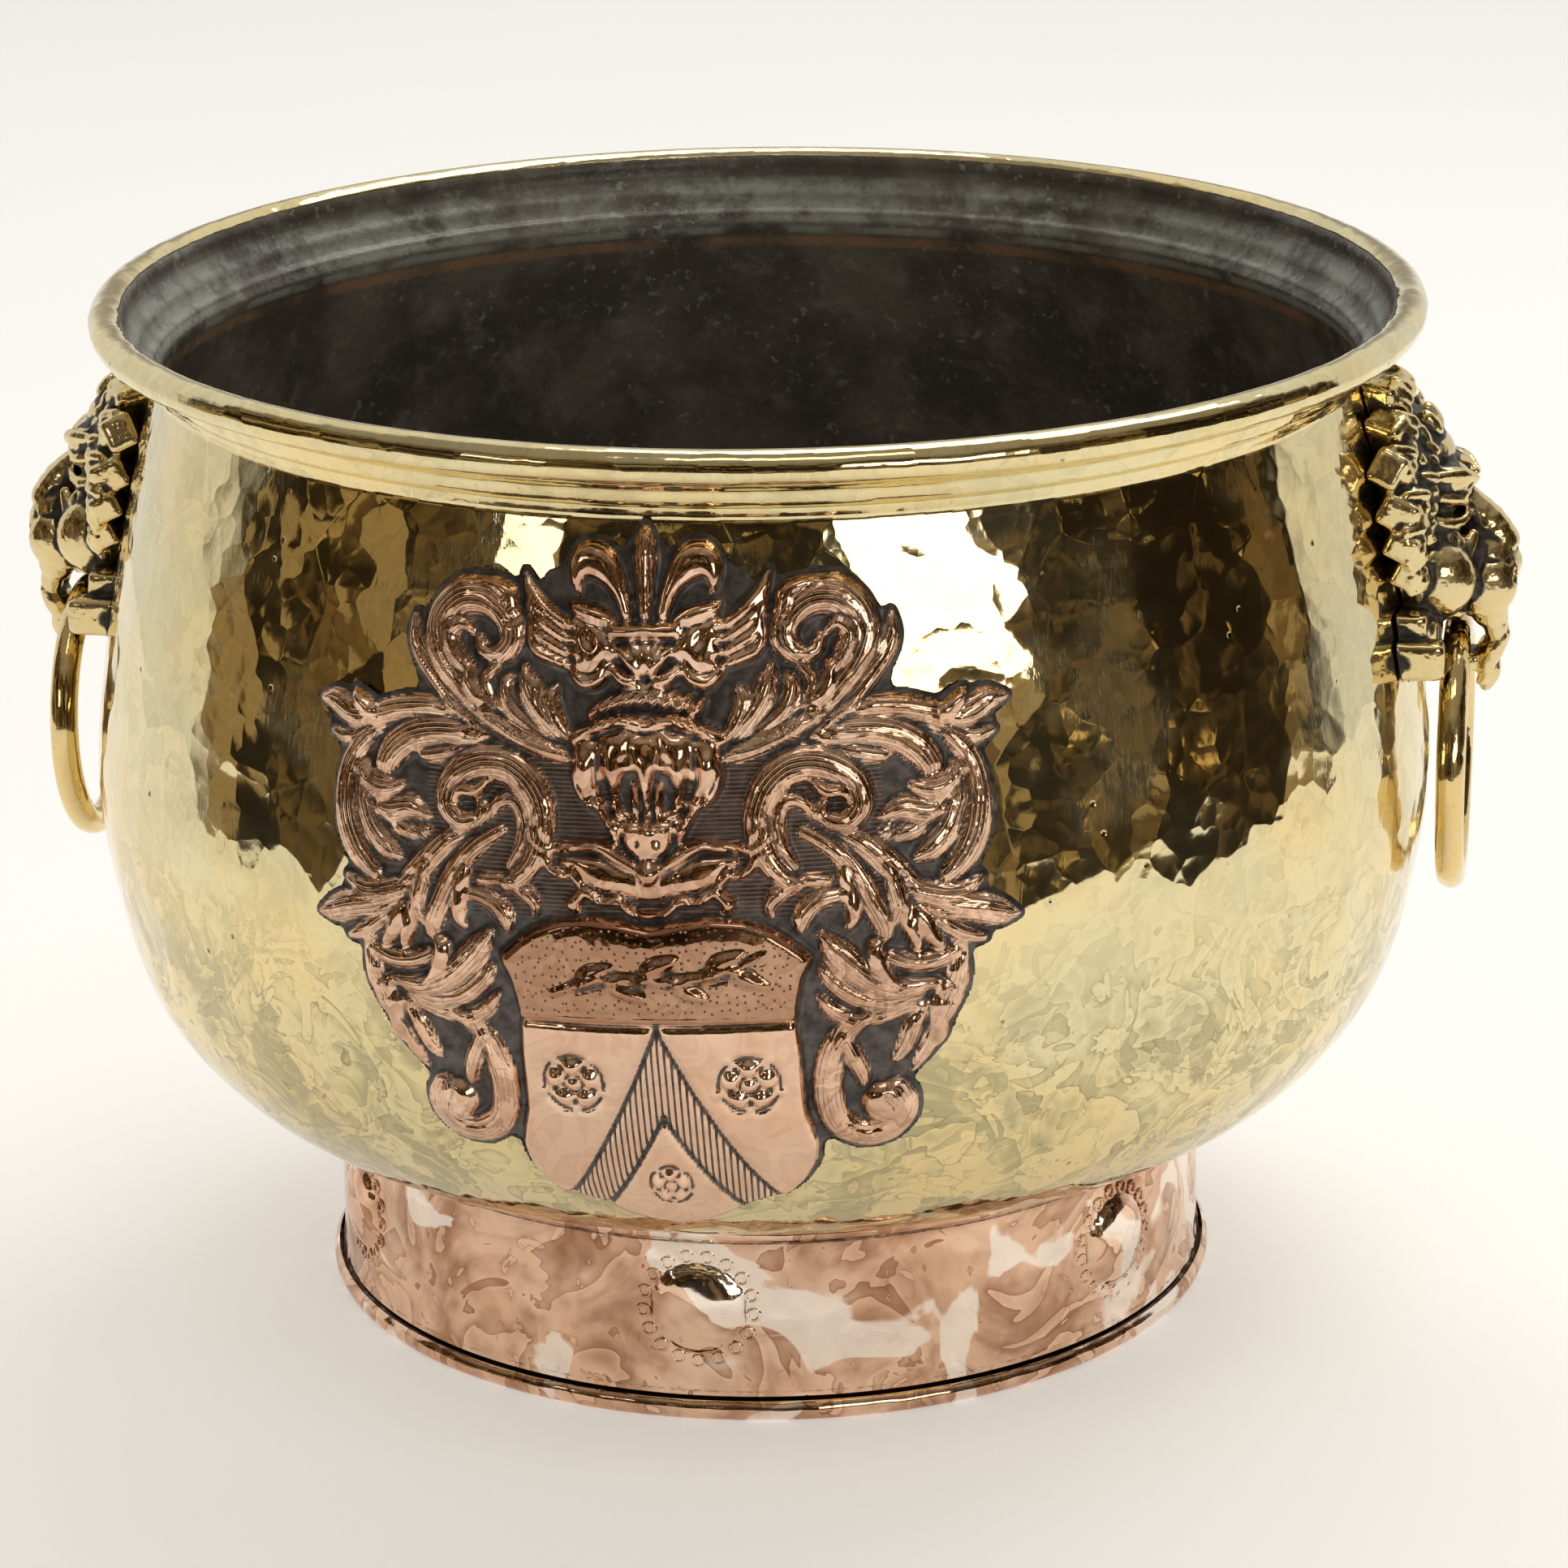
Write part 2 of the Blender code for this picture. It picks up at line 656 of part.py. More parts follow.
def crest_relief(across, up):
    """How far the front stands out of the flat sheet here."""
    tall = CREST_TOP - CREST_BOTTOM
    beside = abs(across) / CREST_HALF_WIDTH
    level = (up - CREST_BOTTOM) / tall
    height = 0.0
    for middle, centre, half_width, half_height, share in CREST_DOMES:
        reach = ((beside - middle) / half_width) ** 2 + ((level - centre) / half_height) ** 2
        height = max(height, share * math.sqrt(max(1 - reach, 0)))
    below_top = (SHIELD_TOP - level) * tall
    narrowing = max(0.0, 1 - level / SHIELD_TURN)
    within = SHIELD_HALF_WIDTH * math.sqrt(1 - min(narrowing, 1) ** 2.4) - abs(across)
    shield = max(0.0, min(below_top / SHIELD_BEVEL, within / SHIELD_BEVEL, 1))
    return CREST_RELIEF * max(height, 0.6 * shield)


def wrap_onto_wall(across, through, up):
    """The place on the pot of a point of the flat crest: through is measured out of the wall."""
    line = wall_line()
    middle = (CREST_TOP + CREST_BOTTOM) / 2
    tilted = Matrix.Rotation(CREST_TILT, 2) @ Vector((across, up - middle))
    height = min(max(tilted.y + middle, line[0].y), line[-1].y)
    for low, high in zip(line, line[1:]):
        if low.y <= height <= high.y:
            skin = low.lerp(high, (height - low.y) / (high.y - low.y))
            out = Vector((high.y - low.y, low.x - high.x)).normalized()
            break
    spot = skin + out * (GAP + through)
    turn = (tilted.x + CREST_SHIFT) / BELLY_RADIUS
    return Vector((spot.x * math.sin(turn), -spot.x * math.cos(turn), spot.y))


def split_along(bm, faces, across, up):
    """Cuts these faces of the flat crest along one of the pot's own upright or level lines."""
    middle = Vector((0, 0, (CREST_TOP + CREST_BOTTOM) / 2))
    back = Matrix.Rotation(CREST_TILT, 3, "Y")
    if across is None:
        place, normal = Vector((0, 0, up)), Vector((0, 0, 1))
    else:
        place, normal = Vector((across - CREST_SHIFT, 0, middle.z)), Vector((1, 0, 0))
    edges = {edge for face in faces for edge in face.edges}
    verts = {vert for face in faces for vert in face.verts}
    bmesh.ops.bisect_plane(
        bm,
        geom=list(faces) + list(edges) + list(verts),
        dist=1e-5,
        plane_co=middle + back @ (place - middle),
        plane_no=back @ normal,
    )


def make_crest(material):
    """A flat sheet, cut where the wall's facets meet, raised in front and wrapped onto the wall."""
    bm = bmesh.new()
    face = bm.faces.new([bm.verts.new((across, 0, up)) for across, up in crest_edge()])
    made = bmesh.ops.extrude_face_region(bm, geom=[face])
    front = [item for item in made["geom"] if isinstance(item, bmesh.types.BMVert)]
    bmesh.ops.translate(bm, vec=(0, CREST_SHEET, 0), verts=front)
    facet = 2 * math.pi / SEGMENTS * BELLY_RADIUS
    lines = [(None, point.y) for point in wall_line() if point.y > CREST_BOTTOM]
    lines += [((i + 0.5) * facet, None) for i in range(-6, 6)]
    for across, up in lines:
        split_along(bm, bm.faces[:], across, up)
    rows = round((CREST_TOP - CREST_BOTTOM) / CREST_GRAIN)
    extra = [(None, CREST_BOTTOM + (i + 0.5) * CREST_GRAIN) for i in range(rows)]
    extra += [((i + 0.5) * CREST_GRAIN, None) for i in range(-rows // 2, rows // 2)]
    for across, up in extra:
        raised = [face for face in bm.faces if face.calc_center_median().y > 0.99 * CREST_SHEET]
        split_along(bm, raised, across, up)
    bmesh.ops.triangulate(bm, faces=bm.faces[:])
    for vertex in bm.verts:
        across, through, up = vertex.co
        rim = any(face.calc_center_median().y < 0.9 * CREST_SHEET for face in vertex.link_faces)
        if through > 0.5 * CREST_SHEET and not rim:
            through += crest_relief(across, up)
        vertex.co = (across, through, up)
    for vertex in bm.verts:
        vertex.co = wrap_onto_wall(*vertex.co)
    crest = object_from("crest_plate", bm, material)
    shade(crest.data, 30)
    return crest


def main():
    clear_scene()
    materials = {
        "brass": make_material("polished_brass", BRASS, 0.12),
        "cast": make_material("cast_brass", AGED_BRASS, 0.25),
        "copper": make_material("polished_copper", COPPER, 0.15),
        "iron": make_material("iron_wire", IRON, 0.6),
    }
    body = make_body(materials["brass"])
    rim_wire = BEAD_RADIUS - BODY_SHEET - 1.6 * GAP
    make_wire("rim_wire", bead_centre(), rim_wire, WIRE_SIDES, materials["iron"])
    make_foot(materials["copper"])
    foot_wire = (HEM_RADIUS - FOOT_SHEET / 2) * math.cos(HEM_FLAT) - FOOT_SHEET / 2 - GAP
    make_wire("foot_wire", hem_centre(), foot_wire, WIRE_SIDES, materials["iron"])
    make_crest(materials["copper"])
    make_handles(body, materials)


main()
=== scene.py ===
# %% [markdown]
# # A brass planter pot on a copper foot
# The real pot is raised from one brass sheet with a hammer, rolled over a wire at the rim and soldered
# to a copper foot. A copper crest is soldered to the front, and two cast lion masks hold ring handles.
# This script makes how it looks, around the fixed frame that says where each piece is and how it moves.

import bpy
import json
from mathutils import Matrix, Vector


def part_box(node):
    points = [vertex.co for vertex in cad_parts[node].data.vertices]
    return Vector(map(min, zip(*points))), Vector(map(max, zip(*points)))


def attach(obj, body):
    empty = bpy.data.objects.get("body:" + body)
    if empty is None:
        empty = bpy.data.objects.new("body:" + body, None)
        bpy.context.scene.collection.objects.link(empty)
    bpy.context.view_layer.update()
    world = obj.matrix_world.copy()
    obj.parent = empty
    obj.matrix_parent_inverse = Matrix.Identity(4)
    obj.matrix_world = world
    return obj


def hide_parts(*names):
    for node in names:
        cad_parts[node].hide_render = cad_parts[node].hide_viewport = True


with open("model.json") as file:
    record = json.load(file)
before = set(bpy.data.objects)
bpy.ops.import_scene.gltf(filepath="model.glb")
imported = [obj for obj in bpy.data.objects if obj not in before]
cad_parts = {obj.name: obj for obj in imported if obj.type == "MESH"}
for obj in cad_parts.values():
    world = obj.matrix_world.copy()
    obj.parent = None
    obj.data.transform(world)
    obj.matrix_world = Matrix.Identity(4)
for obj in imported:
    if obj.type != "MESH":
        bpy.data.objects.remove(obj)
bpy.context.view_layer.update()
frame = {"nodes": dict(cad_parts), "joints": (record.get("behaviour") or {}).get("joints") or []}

# %% Tools used throughout
import json
import math

import bpy
import numpy as np
from mathutils import Matrix, Vector, noise

MM = 0.001


def deselect():
    if bpy.context.object and bpy.context.object.mode != "OBJECT":
        bpy.ops.object.mode_set(mode="OBJECT")
    bpy.ops.object.select_all(action="DESELECT")


def pick(obj):
    """Only this object is selected and active."""
    deselect()
    obj.select_set(True)
    bpy.context.view_layer.objects.active = obj
    return obj


def named(name):
    """The primitive that was just added, under its own name."""
    obj = bpy.context.object
    obj.name = name
    obj.data.name = name
    return obj


def settle(obj):
    """Puts the object's place into its mesh, so that the object stands unturned at the origin."""
    pick(obj)
    bpy.ops.object.transform_apply(location=True, rotation=True, scale=True)
    return obj


def finish_with(obj, kind, **settings):
    """Adds a modifier with these settings and applies it."""
    pick(obj)
    modifier = obj.modifiers.new(kind.title(), kind)
    for name, value in settings.items():
        setattr(modifier, name, value)
    bpy.ops.object.modifier_apply(modifier=modifier.name)
    return obj


def shade(obj, angle=35):
    pick(obj)
    bpy.ops.object.shade_smooth_by_angle(angle=math.radians(angle))
    return obj


def join(name, objects):
    """One object made of all of these."""
    pick(objects[0])
    for obj in objects[1:]:
        obj.select_set(True)
    bpy.ops.object.join()
    return named(name)


def points_of(obj):
    """The places of the object's vertices, as an array."""
    places = np.empty(len(obj.data.vertices) * 3)
    obj.data.vertices.foreach_get("co", places)
    return places.reshape(-1, 3)


def move_points(obj, places):
    obj.data.vertices.foreach_set("co", np.ascontiguousarray(places, np.float32).ravel())
    obj.data.update()


def mark(obj, name, values):
    """Stores a number at each vertex, for a material to read."""
    layer = obj.data.attributes.new(name, "FLOAT", "POINT")
    layer.data.foreach_set("value", np.ascontiguousarray(values, np.float32))


def ramp(values, start, end):
    """0 before start, 1 after end, and smooth between them."""
    share = np.clip((values - start) / (end - start), 0, 1)
    return share * share * (3 - 2 * share)


def keep(obj, body, slot, *nodes):
    """The piece moves with its body and stands for these plain pieces; the slot is not used."""
    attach(obj, body)
    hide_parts(*nodes)
    print(obj.name, "triangles:", sum(len(face.vertices) - 2 for face in obj.data.polygons))
    return obj


# %% [markdown]
# ## The sizes
# The pot is a turned shape, so a few radii and heights fix it. They are the frame's own sizes.

# %% Sizes of the pot
seat_radius = 127.0 * MM
seat_height = 58.0 * MM
floor_radius = 88.0 * MM
floor_height = 42.0 * MM
belly_radius = 193.7 * MM
belly_height = 163.0 * MM
neck_radius = 172.0 * MM
neck_height = 274.0 * MM
rim_radius = 190.0 * MM
rim_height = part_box("pot_body")[1].z
bead_radius = 4.85 * MM
sheet = 1.2 * MM
gap = 0.3 * MM
hinge = Vector(frame["joints"][1]["pos_m"])
print("rim height:", round(rim_height / MM, 2), "mm, hinge at", [round(v / MM, 1) for v in hinge])

# %% [markdown]
# ## The camera
# A long lens from a little above the rim shows the pot as a person standing near it would see it. It
# comes first, because the light has to be placed by what the polished metal sees from here.

# %% Camera
camera_turn = math.radians(9.35)  # round the pot, from the crest towards the right handle
camera_reach = 1.542
camera_height = 0.658
camera_dip = math.radians(18.42)
camera_aim = math.radians(0.21)  # the lens points a little to the right of the pot's axis
camera_roll = math.radians(0.75)
bpy.ops.object.camera_add(
    location=(camera_reach * math.sin(camera_turn), -camera_reach * math.cos(camera_turn), camera_height)
)
camera = bpy.context.object
look = Matrix.Rotation(camera_turn - camera_aim, 3, "Z") @ Matrix.Rotation(math.pi / 2 - camera_dip, 3, "X")
camera.rotation_euler = (look @ Matrix.Rotation(-camera_roll, 3, "Z")).to_euler()
camera.data.lens = 127.1
camera.data.sensor_width = 36
camera.data.clip_end = 50
bpy.context.scene.camera = camera
print("camera at", [round(v, 3) for v in camera.location])

# %% [markdown]
# ## Shader nodes as sums
# A finish is easier to read as a sum than as a tangle of nodes. This small class wraps one socket, so
# that a + b adds a Math node, and its one other method adds any node with its settings and inputs.


# %% The class that writes nodes
class Flow:
    """One value in a material, on its way from node to node."""

    def __init__(self, tree, socket=None):
        self.tree = tree
        self.socket = socket

    def node(self, kind, settings=None, take=0, **inputs):
        """A new node: its settings first, then its inputs by name, with _ for a space."""
        made = self.tree.nodes.new("ShaderNode" + kind)
        for name, value in (settings or {}).items():
            setattr(made, name, value)
        for name, value in inputs.items():
            key = int(name[1:]) if name[1:].isdigit() else name.replace("_", " ")
            self.feed(made.inputs[key], value)
        return Flow(self.tree, made.outputs[take] if len(made.outputs) else None)

    def feed(self, socket, value):
        if isinstance(value, Flow):
            self.tree.links.new(value.socket, socket)
        else:
            socket.default_value = value

    def maths(self, operation, *values):
        inputs = {f"n{place}": value for place, value in enumerate(values)}
        return self.node("Math", {"operation": operation}, **inputs)

    def __add__(self, other):
        return self.maths("ADD", self, other)

    def __sub__(self, other):
        return self.maths("SUBTRACT", self, other)

    def __rsub__(self, other):
        return self.maths("SUBTRACT", other, self)

    def __mul__(self, other):
        return self.maths("MULTIPLY", self, other)

    __radd__ = __add__
    __rmul__ = __mul__

    def between(self, start, end):
        """0 where this is at start, 1 where it is at end, and smooth between them."""
        smooth = {"interpolation_type": "SMOOTHSTEP"}
        return self.node("MapRange", smooth, Value=self, From_Min=start, From_Max=end)

    def tint(self, first, second):
        """A colour that goes from the first to the second as this goes from 0 to 1."""
        colours = {"data_type": "RGBA", "clamp_factor": True}
        return self.node("Mix", colours, take=2, n0=self, n6=first, n7=second)


def new_finish(name):
    """An empty material, with its places in Object coordinates."""
    material = bpy.data.materials.new(name)
    material.use_nodes = True
    material.node_tree.nodes.clear()
    start = Flow(material.node_tree)
    return material, start, start.node("TexCoord", take=3)


def grain(where, size, detail=3.0, rough=0.55, twist=0.0):
    """Cloudy noise, 0 to 1, with patches about this many metres across."""
    return where.node(
        "TexNoise", Vector=where, Scale=1 / size, Detail=detail, Roughness=rough, Distortion=twist
    )


def attribute(where, name):
    return where.node("Attribute", {"attribute_name": name}, take=2)


def close(shader):
    """The finish ends here."""
    shader.node("OutputMaterial", Surface=shader)
    print("finish of", len(shader.tree.nodes), "nodes")


# %% [markdown]
# ## The room and the light
# Polished metal shows the room around it, so the light is a room: a pale table, pale screens behind
# on both sides, a dark end of the room behind the camera, and soft boxes that make the highlights.

# %% Floor
bpy.ops.mesh.primitive_circle_add(vertices=128, radius=1.25, fill_type="NGON")
table = named("table")
bpy.ops.mesh.primitive_circle_add(vertices=128, radius=12, fill_type="NGON", location=(0, 0, -0.2 * MM))
floor = named("floor")
floor.visible_glossy = False
paper, start, where = new_finish("pale_paper")
cloud = grain(where, 0.35)
close(
    start.node(
        "BsdfPrincipled",
        Base_Color=cloud.tint((0.86, 0.855, 0.84, 1), (0.9, 0.895, 0.885, 1)),
        Roughness=0.9,
        Specular_IOR_Level=0.1,
        Emission_Color=(1, 0.99, 0.97, 1),
        Emission_Strength=0.40,
    )
)
for obj in (table, floor):
    obj.data.materials.append(paper)


# %% Soft boxes
def soft_box(name, turn, rise, distance, width, height, glow):
    """A light at this turn from the camera's side and this rise above the rim, with an even glow."""
    away = camera_turn + math.radians(turn)
    lift = math.radians(rise)
    place = Vector((math.sin(away) * math.cos(lift), -math.cos(away) * math.cos(lift), math.sin(lift)))
    aim = Vector((0, 0, 0.2))
    bpy.ops.object.light_add(type="AREA", location=aim + place * distance)
    light = bpy.context.object
    light.name = name
    light.data.shape = "RECTANGLE"
    light.data.size = width
    light.data.size_y = height
    light.data.energy = glow * math.pi * width * height
    light.data.color = (1, 0.985, 0.95)
    light.rotation_euler = place.to_track_quat("Z", "Y").to_euler()
    light.visible_camera = False
    return light


soft_box("key_box", 28, 12.0, 2.0, 0.88, 0.50, 3.2)
soft_box("left_box", -41, 15.5, 2.0, 0.40, 0.20, 2.2)
soft_box("top_box", 150, 62, 2.2, 1.8, 1.1, 2.6)
soft_box("front_top_box", 10, 66, 2.2, 1.2, 0.5, 1.6)

# %% The room
room = bpy.data.worlds.new("room")
bpy.context.scene.world = room
room.use_nodes = True
room.node_tree.nodes.clear()
start = Flow(room.node_tree)
direction = start.node("TexCoord", take=0)
front = Vector((math.sin(camera_turn), -math.cos(camera_turn), 0))
level = start.node("SeparateXYZ", take=2, Vector=direction)
ahead = start.node("VectorMath", {"operation": "DOT_PRODUCT"}, take=1, n0=direction, n1=front)
wobble = (grain(direction, 0.25, 4.0) - 0.5) * 0.25
behind = (ahead + wobble).between(-0.27, -0.42)
far_back = ahead.between(-0.86, -0.97) * level.between(-0.02, 0.25)
high = level.between(0.45, 0.75)
tall = start.node("VectorMath", {"operation": "MULTIPLY"}, n0=direction, n1=(1, 1, 0.45))
patch = grain(tall, 0.13, 5.0, 0.6, 0.8).between(0.47, 0.62)
dark = patch.tint((0.012, 0.008, 0.004, 1), (0.150, 0.095, 0.040, 1))
pane = grain(tall, 0.22, 2.0, 0.5, 0.5).between(0.585, 0.605)
dark = pane.tint(dark, (0.30, 0.22, 0.11, 1))
glint = grain(tall, 0.050, 3.0).between(0.67, 0.69)
dark = glint.tint(dark, (0.90, 0.62, 0.24, 1))
ceiling = high.tint(dark, (0.30, 0.27, 0.23, 1))
screens = behind.tint(ceiling, (0.80, 0.79, 0.76, 1))
screens = (far_back * 0.65).tint(screens, (0.12, 0.10, 0.08, 1))
seen = start.node("LightPath", take=0)
backdrop = seen.tint(screens, (1.0, 1.0, 1.0, 1))
light = start.node("Background", Color=backdrop, Strength=1.0)
light.node("OutputWorld", Surface=light)
bpy.context.scene.view_settings.view_transform = "Standard"

# %% [markdown]
# ## Polished brass
# Planished brass is a mirror made of many shallow hammer marks. Each mark bends the reflection a
# little, and polishing leaves hair-fine scratches that spread the light. So the finish mixes a clear
# mirror with a hazy one, and its bump is made of shallow dishes, long waves and fine scratches.


# %% Hammer marks and scratches
def dishes(where, size, depth):
    """Shallow hammer marks of this size and depth, side by side, as a height in metres."""
    drift = where.node("TexNoise", take=1, Vector=where, Scale=0.8 / size)
    bent = where.node("VectorMath", {"operation": "MULTIPLY_ADD"}, n0=drift, n1=(0.5 * size,) * 3, n2=where)
    reach = where.node("TexVoronoi", {"feature": "SMOOTH_F1"}, Vector=bent, Scale=1 / size, Smoothness=0.10)
    return reach * reach * depth


def scratches(where, lean, fine=0.0009):
    """Straight hair-fine scratches that lean by this many radians, 0 to 1."""
    turned = (lean, lean * 0.7, lean * 0.4)
    drawn = where.node("Mapping", {"vector_type": "POINT"}, Vector=where, Rotation=turned, Scale=(1, 1, 0.07))
    return grain(drawn, fine, 2.0).between(0.50, 0.72)


def pools(where, size, count=5.0):
    """Still pools with one crisp bank each, as a wavy mirror shows them: 0 to 1; the pot and the foot paint
    reflections with them.
    """
    return where.maths("FRACT", grain(where, size, 3.0, 0.5, 1.5) * count)


def mirror(start, colour, rough, height, haze, haze_rough=0.34, metal=1.0, depth=1.0):
    """A clear and a hazy metal, mixed."""
    normal = start.node("Bump", Strength=1.0, Distance=depth, Height=height)
    clear = start.node("BsdfPrincipled", Base_Color=colour, Metallic=metal, Roughness=rough, Normal=normal)
    hazy = start.node(
        "BsdfPrincipled", Base_Color=colour, Metallic=metal, Roughness=haze_rough, Normal=normal
    )
    return start.node("MixShader", n0=haze, n1=clear, n2=hazy)


# %% Brass of the pot
brass, start, where = new_finish("planished_brass")
inside = attribute(where, "inside")
height_up = where.node("SeparateXYZ", take=2, Vector=where)
blotch = grain(where, 0.030, 4.0)
fine_blotch = grain(where, 0.006, 4.0)
# Hammer facets, pools and their crisp banks darken the colour in patches, most on the low belly: painted
# reflections of the room's darker parts in the wavy metal.
low_belly = 1 - height_up.between(0.120, 0.165)
marks = where.node("TexNoise", take=1, Vector=where, Scale=90.0)
marks = where.node("VectorMath", {"operation": "MULTIPLY_ADD"}, n0=marks, n1=(0.016,) * 3, n2=where)
reflecting_facet = where.node("TexVoronoi", take=1, Vector=marks, Scale=1 / 0.017)
reflecting_facet = where.node("SeparateColor", take=0, Color=reflecting_facet)
reflection_pool = pools(where, 0.034, 6.0)
tone = grain(where, 0.055, 2.0).between(0.35, 0.65)
polished = tone.tint((0.85, 0.685, 0.350, 1), (0.80, 0.700, 0.410, 1))
small_reflection_pool = pools(where, 0.015, 4.0)
painted_reflection_banks = (reflection_pool.between(0.93, 0.99) * 0.5 + small_reflection_pool.between(0.92, 0.99) * 0.3) * (0.25 + low_belly)
painted_reflection_shade = (reflecting_facet * 0.42 + reflection_pool * 0.34 + small_reflection_pool * 0.24).between(0.30, 0.80) * (0.25 + low_belly * 0.55)
polished = painted_reflection_shade.tint(polished, (0.42, 0.375, 0.215, 1))
polished = painted_reflection_banks.tint(polished, (0.34, 0.27, 0.13, 1))
tarnish = (blotch.between(0.60, 0.78) * 0.5) * fine_blotch.between(0.35, 0.6)
polished = tarnish.tint(polished, (0.42, 0.33, 0.16, 1))
pits = where.node("TexVoronoi", Vector=where, Scale=1 / 0.011)
pits = (1 - pits.between(0.05, 0.10)) * grain(where, 0.02).between(0.54, 0.60)
polished = (pits * 0.8).tint(polished, (0.10, 0.08, 0.05, 1))
ragged = (inside + (fine_blotch - 0.5) * 0.35).between(0.35, 0.65)
old = blotch.between(0.38, 0.66).tint((0.110, 0.096, 0.076, 1), (0.215, 0.195, 0.158, 1))
mist = grain(where, 0.011, 5.0, 0.7).between(0.50, 0.72)
old = (mist * 0.50).tint(old, (0.36, 0.35, 0.30, 1))
specks = (grain(where, 0.0032, 2.0).between(0.60, 0.70)) * grain(where, 0.04).between(0.40, 0.60)
old = (specks * 0.7).tint(old, (0.40, 0.44, 0.39, 1))
band = height_up.between(0.2735, 0.2765) * (1 - height_up.between(0.2845, 0.2885))
crust = band * (grain(where, 0.009, 5.0, 0.65) * 0.5 + grain(where, 0.045, 3.0) * 0.5).between(0.42, 0.56)
old = (crust * 0.65).tint(old, (0.42, 0.45, 0.39, 1))
# A grey patina band on the slope under the throat, painted paler where the slope faces up to the light.
grey_patina_lit_slope = height_up.between(0.2700, 0.2716) * (1 - height_up.between(0.2722, 0.2740))
old = (grey_patina_lit_slope * grain(where, 0.02, 4.0).between(0.40, 0.55) * 0.8).tint(old, (0.46, 0.48, 0.42, 1))
edge = height_up.between(0.2655, 0.2675) * (1 - height_up.between(0.2690, 0.2706))
old = (edge * grain(where, 0.03).between(0.3, 0.6)).tint(old, (0.42, 0.25, 0.15, 1))
colour = ragged.tint(polished, old)
bands = dishes(where, 0.0185, 0.00055) + dishes(where, 0.0080, 0.00013)
waves = grain(where, 0.05, 2.0) * 0.0011
brushed = scratches(where, 0.6) + scratches(where, -1.1) + scratches(where, 2.0)
worked = grain(where, 0.050, 3.0).between(0.50, 0.62)
fine = grain(where, 0.0018, 3.0) * 0.000006
height = bands + waves + fine + brushed * worked * 0.0000035 - pits * 0.00012
height = height - ragged * grain(where, 0.004, 4.0) * 0.0005
rough = 0.035 + blotch * 0.03 + tarnish * 0.15 + ragged * 0.45
haze = (worked * (0.10 + brushed * 0.12) + 0.04) * (1 - ragged) + ragged * 0.6
close(mirror(start, colour, rough, height, haze, metal=1 - ragged * 0.93))

# %% [markdown]
# ## The pot
# The real sheet has the same thickness everywhere. So a single line, the middle of the sheet, is
# drawn from the centre of the floor to the rolled edge, one vertex pushed along point by point, then
# spun round the axis and given its thickness. Drawing both faces by hand would take twice the work.


# %% Lines in the (radius, height) plane
def smooth_line(points, steps):
    """A smooth line through the points, with this many steps between each two of them."""
    points = [np.array(point, float) for point in points]
    line = [points[0]]
    for i in range(len(points) - 1):
        before, first = points[max(i - 1, 0)], points[i]
        last, after = points[i + 1], points[min(i + 2, len(points) - 1)]
        leave, arrive = (last - before) / 2, (after - first) / 2
        for step in range(1, steps + 1):
            t = step / steps
            line.append(
                (2 * t**3 - 3 * t**2 + 1) * first
                + (t**3 - 2 * t**2 + t) * leave
                + (3 * t**2 - 2 * t**3) * last
                + (t**3 - t**2) * arrive
            )
    return np.array(line)


def aside(line, distance):
    """The line moved sideways, to the right of its direction."""
    along = np.gradient(line, axis=0)
    along /= np.linalg.norm(along, axis=1)[:, None]
    return line + distance * np.stack([along[:, 1], -along[:, 0]], axis=1)


def arc(centre, radius, first, last, steps):
    turns = np.radians(np.linspace(first, last, steps + 1))
    return np.array(centre) + radius * np.stack([np.cos(turns), np.sin(turns)], axis=1)


def wall_points():
    """The outer face of the wall, from the foot to the neck, as (radius, height)."""
    lower = ((0.10, 0.445), (0.352, 0.804), (0.678, 0.954))
    upper = ((0.586, 0.70), (0.243, 0.336))
    points = [(seat_radius, seat_height)]
    for rise, reach in lower:
        radius = seat_radius + reach * (belly_radius - seat_radius)
        points.append((radius, seat_height + rise * (belly_height - seat_height)))
    points.append((belly_radius, belly_height))
    for rise, reach in upper:
        radius = neck_radius + reach * (belly_radius - neck_radius)
        points.append((radius, neck_height + rise * (belly_height - neck_height)))
    return points + [(neck_radius, neck_height)]


wall_line = smooth_line(wall_points(), 9)
print("wall:", len(wall_line), "points")


def wall_radius(height):
    return np.interp(height, wall_line[:, 1], wall_line[:, 0])


# %% The middle of the pot's sheet
half = sheet / 2
bead = np.array((rim_radius - bead_radius, rim_height - bead_radius))
bend = bead_radius - half
floor_middle = floor_height + half
wall_middle = aside(wall_line, -half)
slope_out = floor_radius + 0.45 * (seat_radius - floor_radius)
slope_up = floor_middle + 0.22 * (seat_height - floor_height)
bottom = smooth_line(
    [
        (0, floor_middle),
        (0.5 * floor_radius, floor_middle + 0.1 * MM),
        (floor_radius, floor_middle + 0.2 * MM),
        (slope_out, slope_up),
        wall_middle[0],
    ],
    3,
)
neck = wall_middle[-1]
rise = bead - neck
cove = smooth_line(
    [
        neck,
        neck + (0.0012, 0.0022),
        neck + (0.0017, 0.0034),
        neck + (0.0031, 0.0040),
        neck + (0.0042, 0.0053),
        neck + (0.0050, 0.0068),
        neck + (0.0058, 0.0088),
        neck + (0.0074, 0.0106),
        (bead[0] - bend - 0.3 * MM, bead[1] - 0.75 * bend),
    ],
    3,
)
curl = arc(bead, bend, 190, -118, 28)
pot_line = np.concatenate([bottom[:-1], wall_middle[:-1], cove, curl])
print("pot line:", len(pot_line), "points")


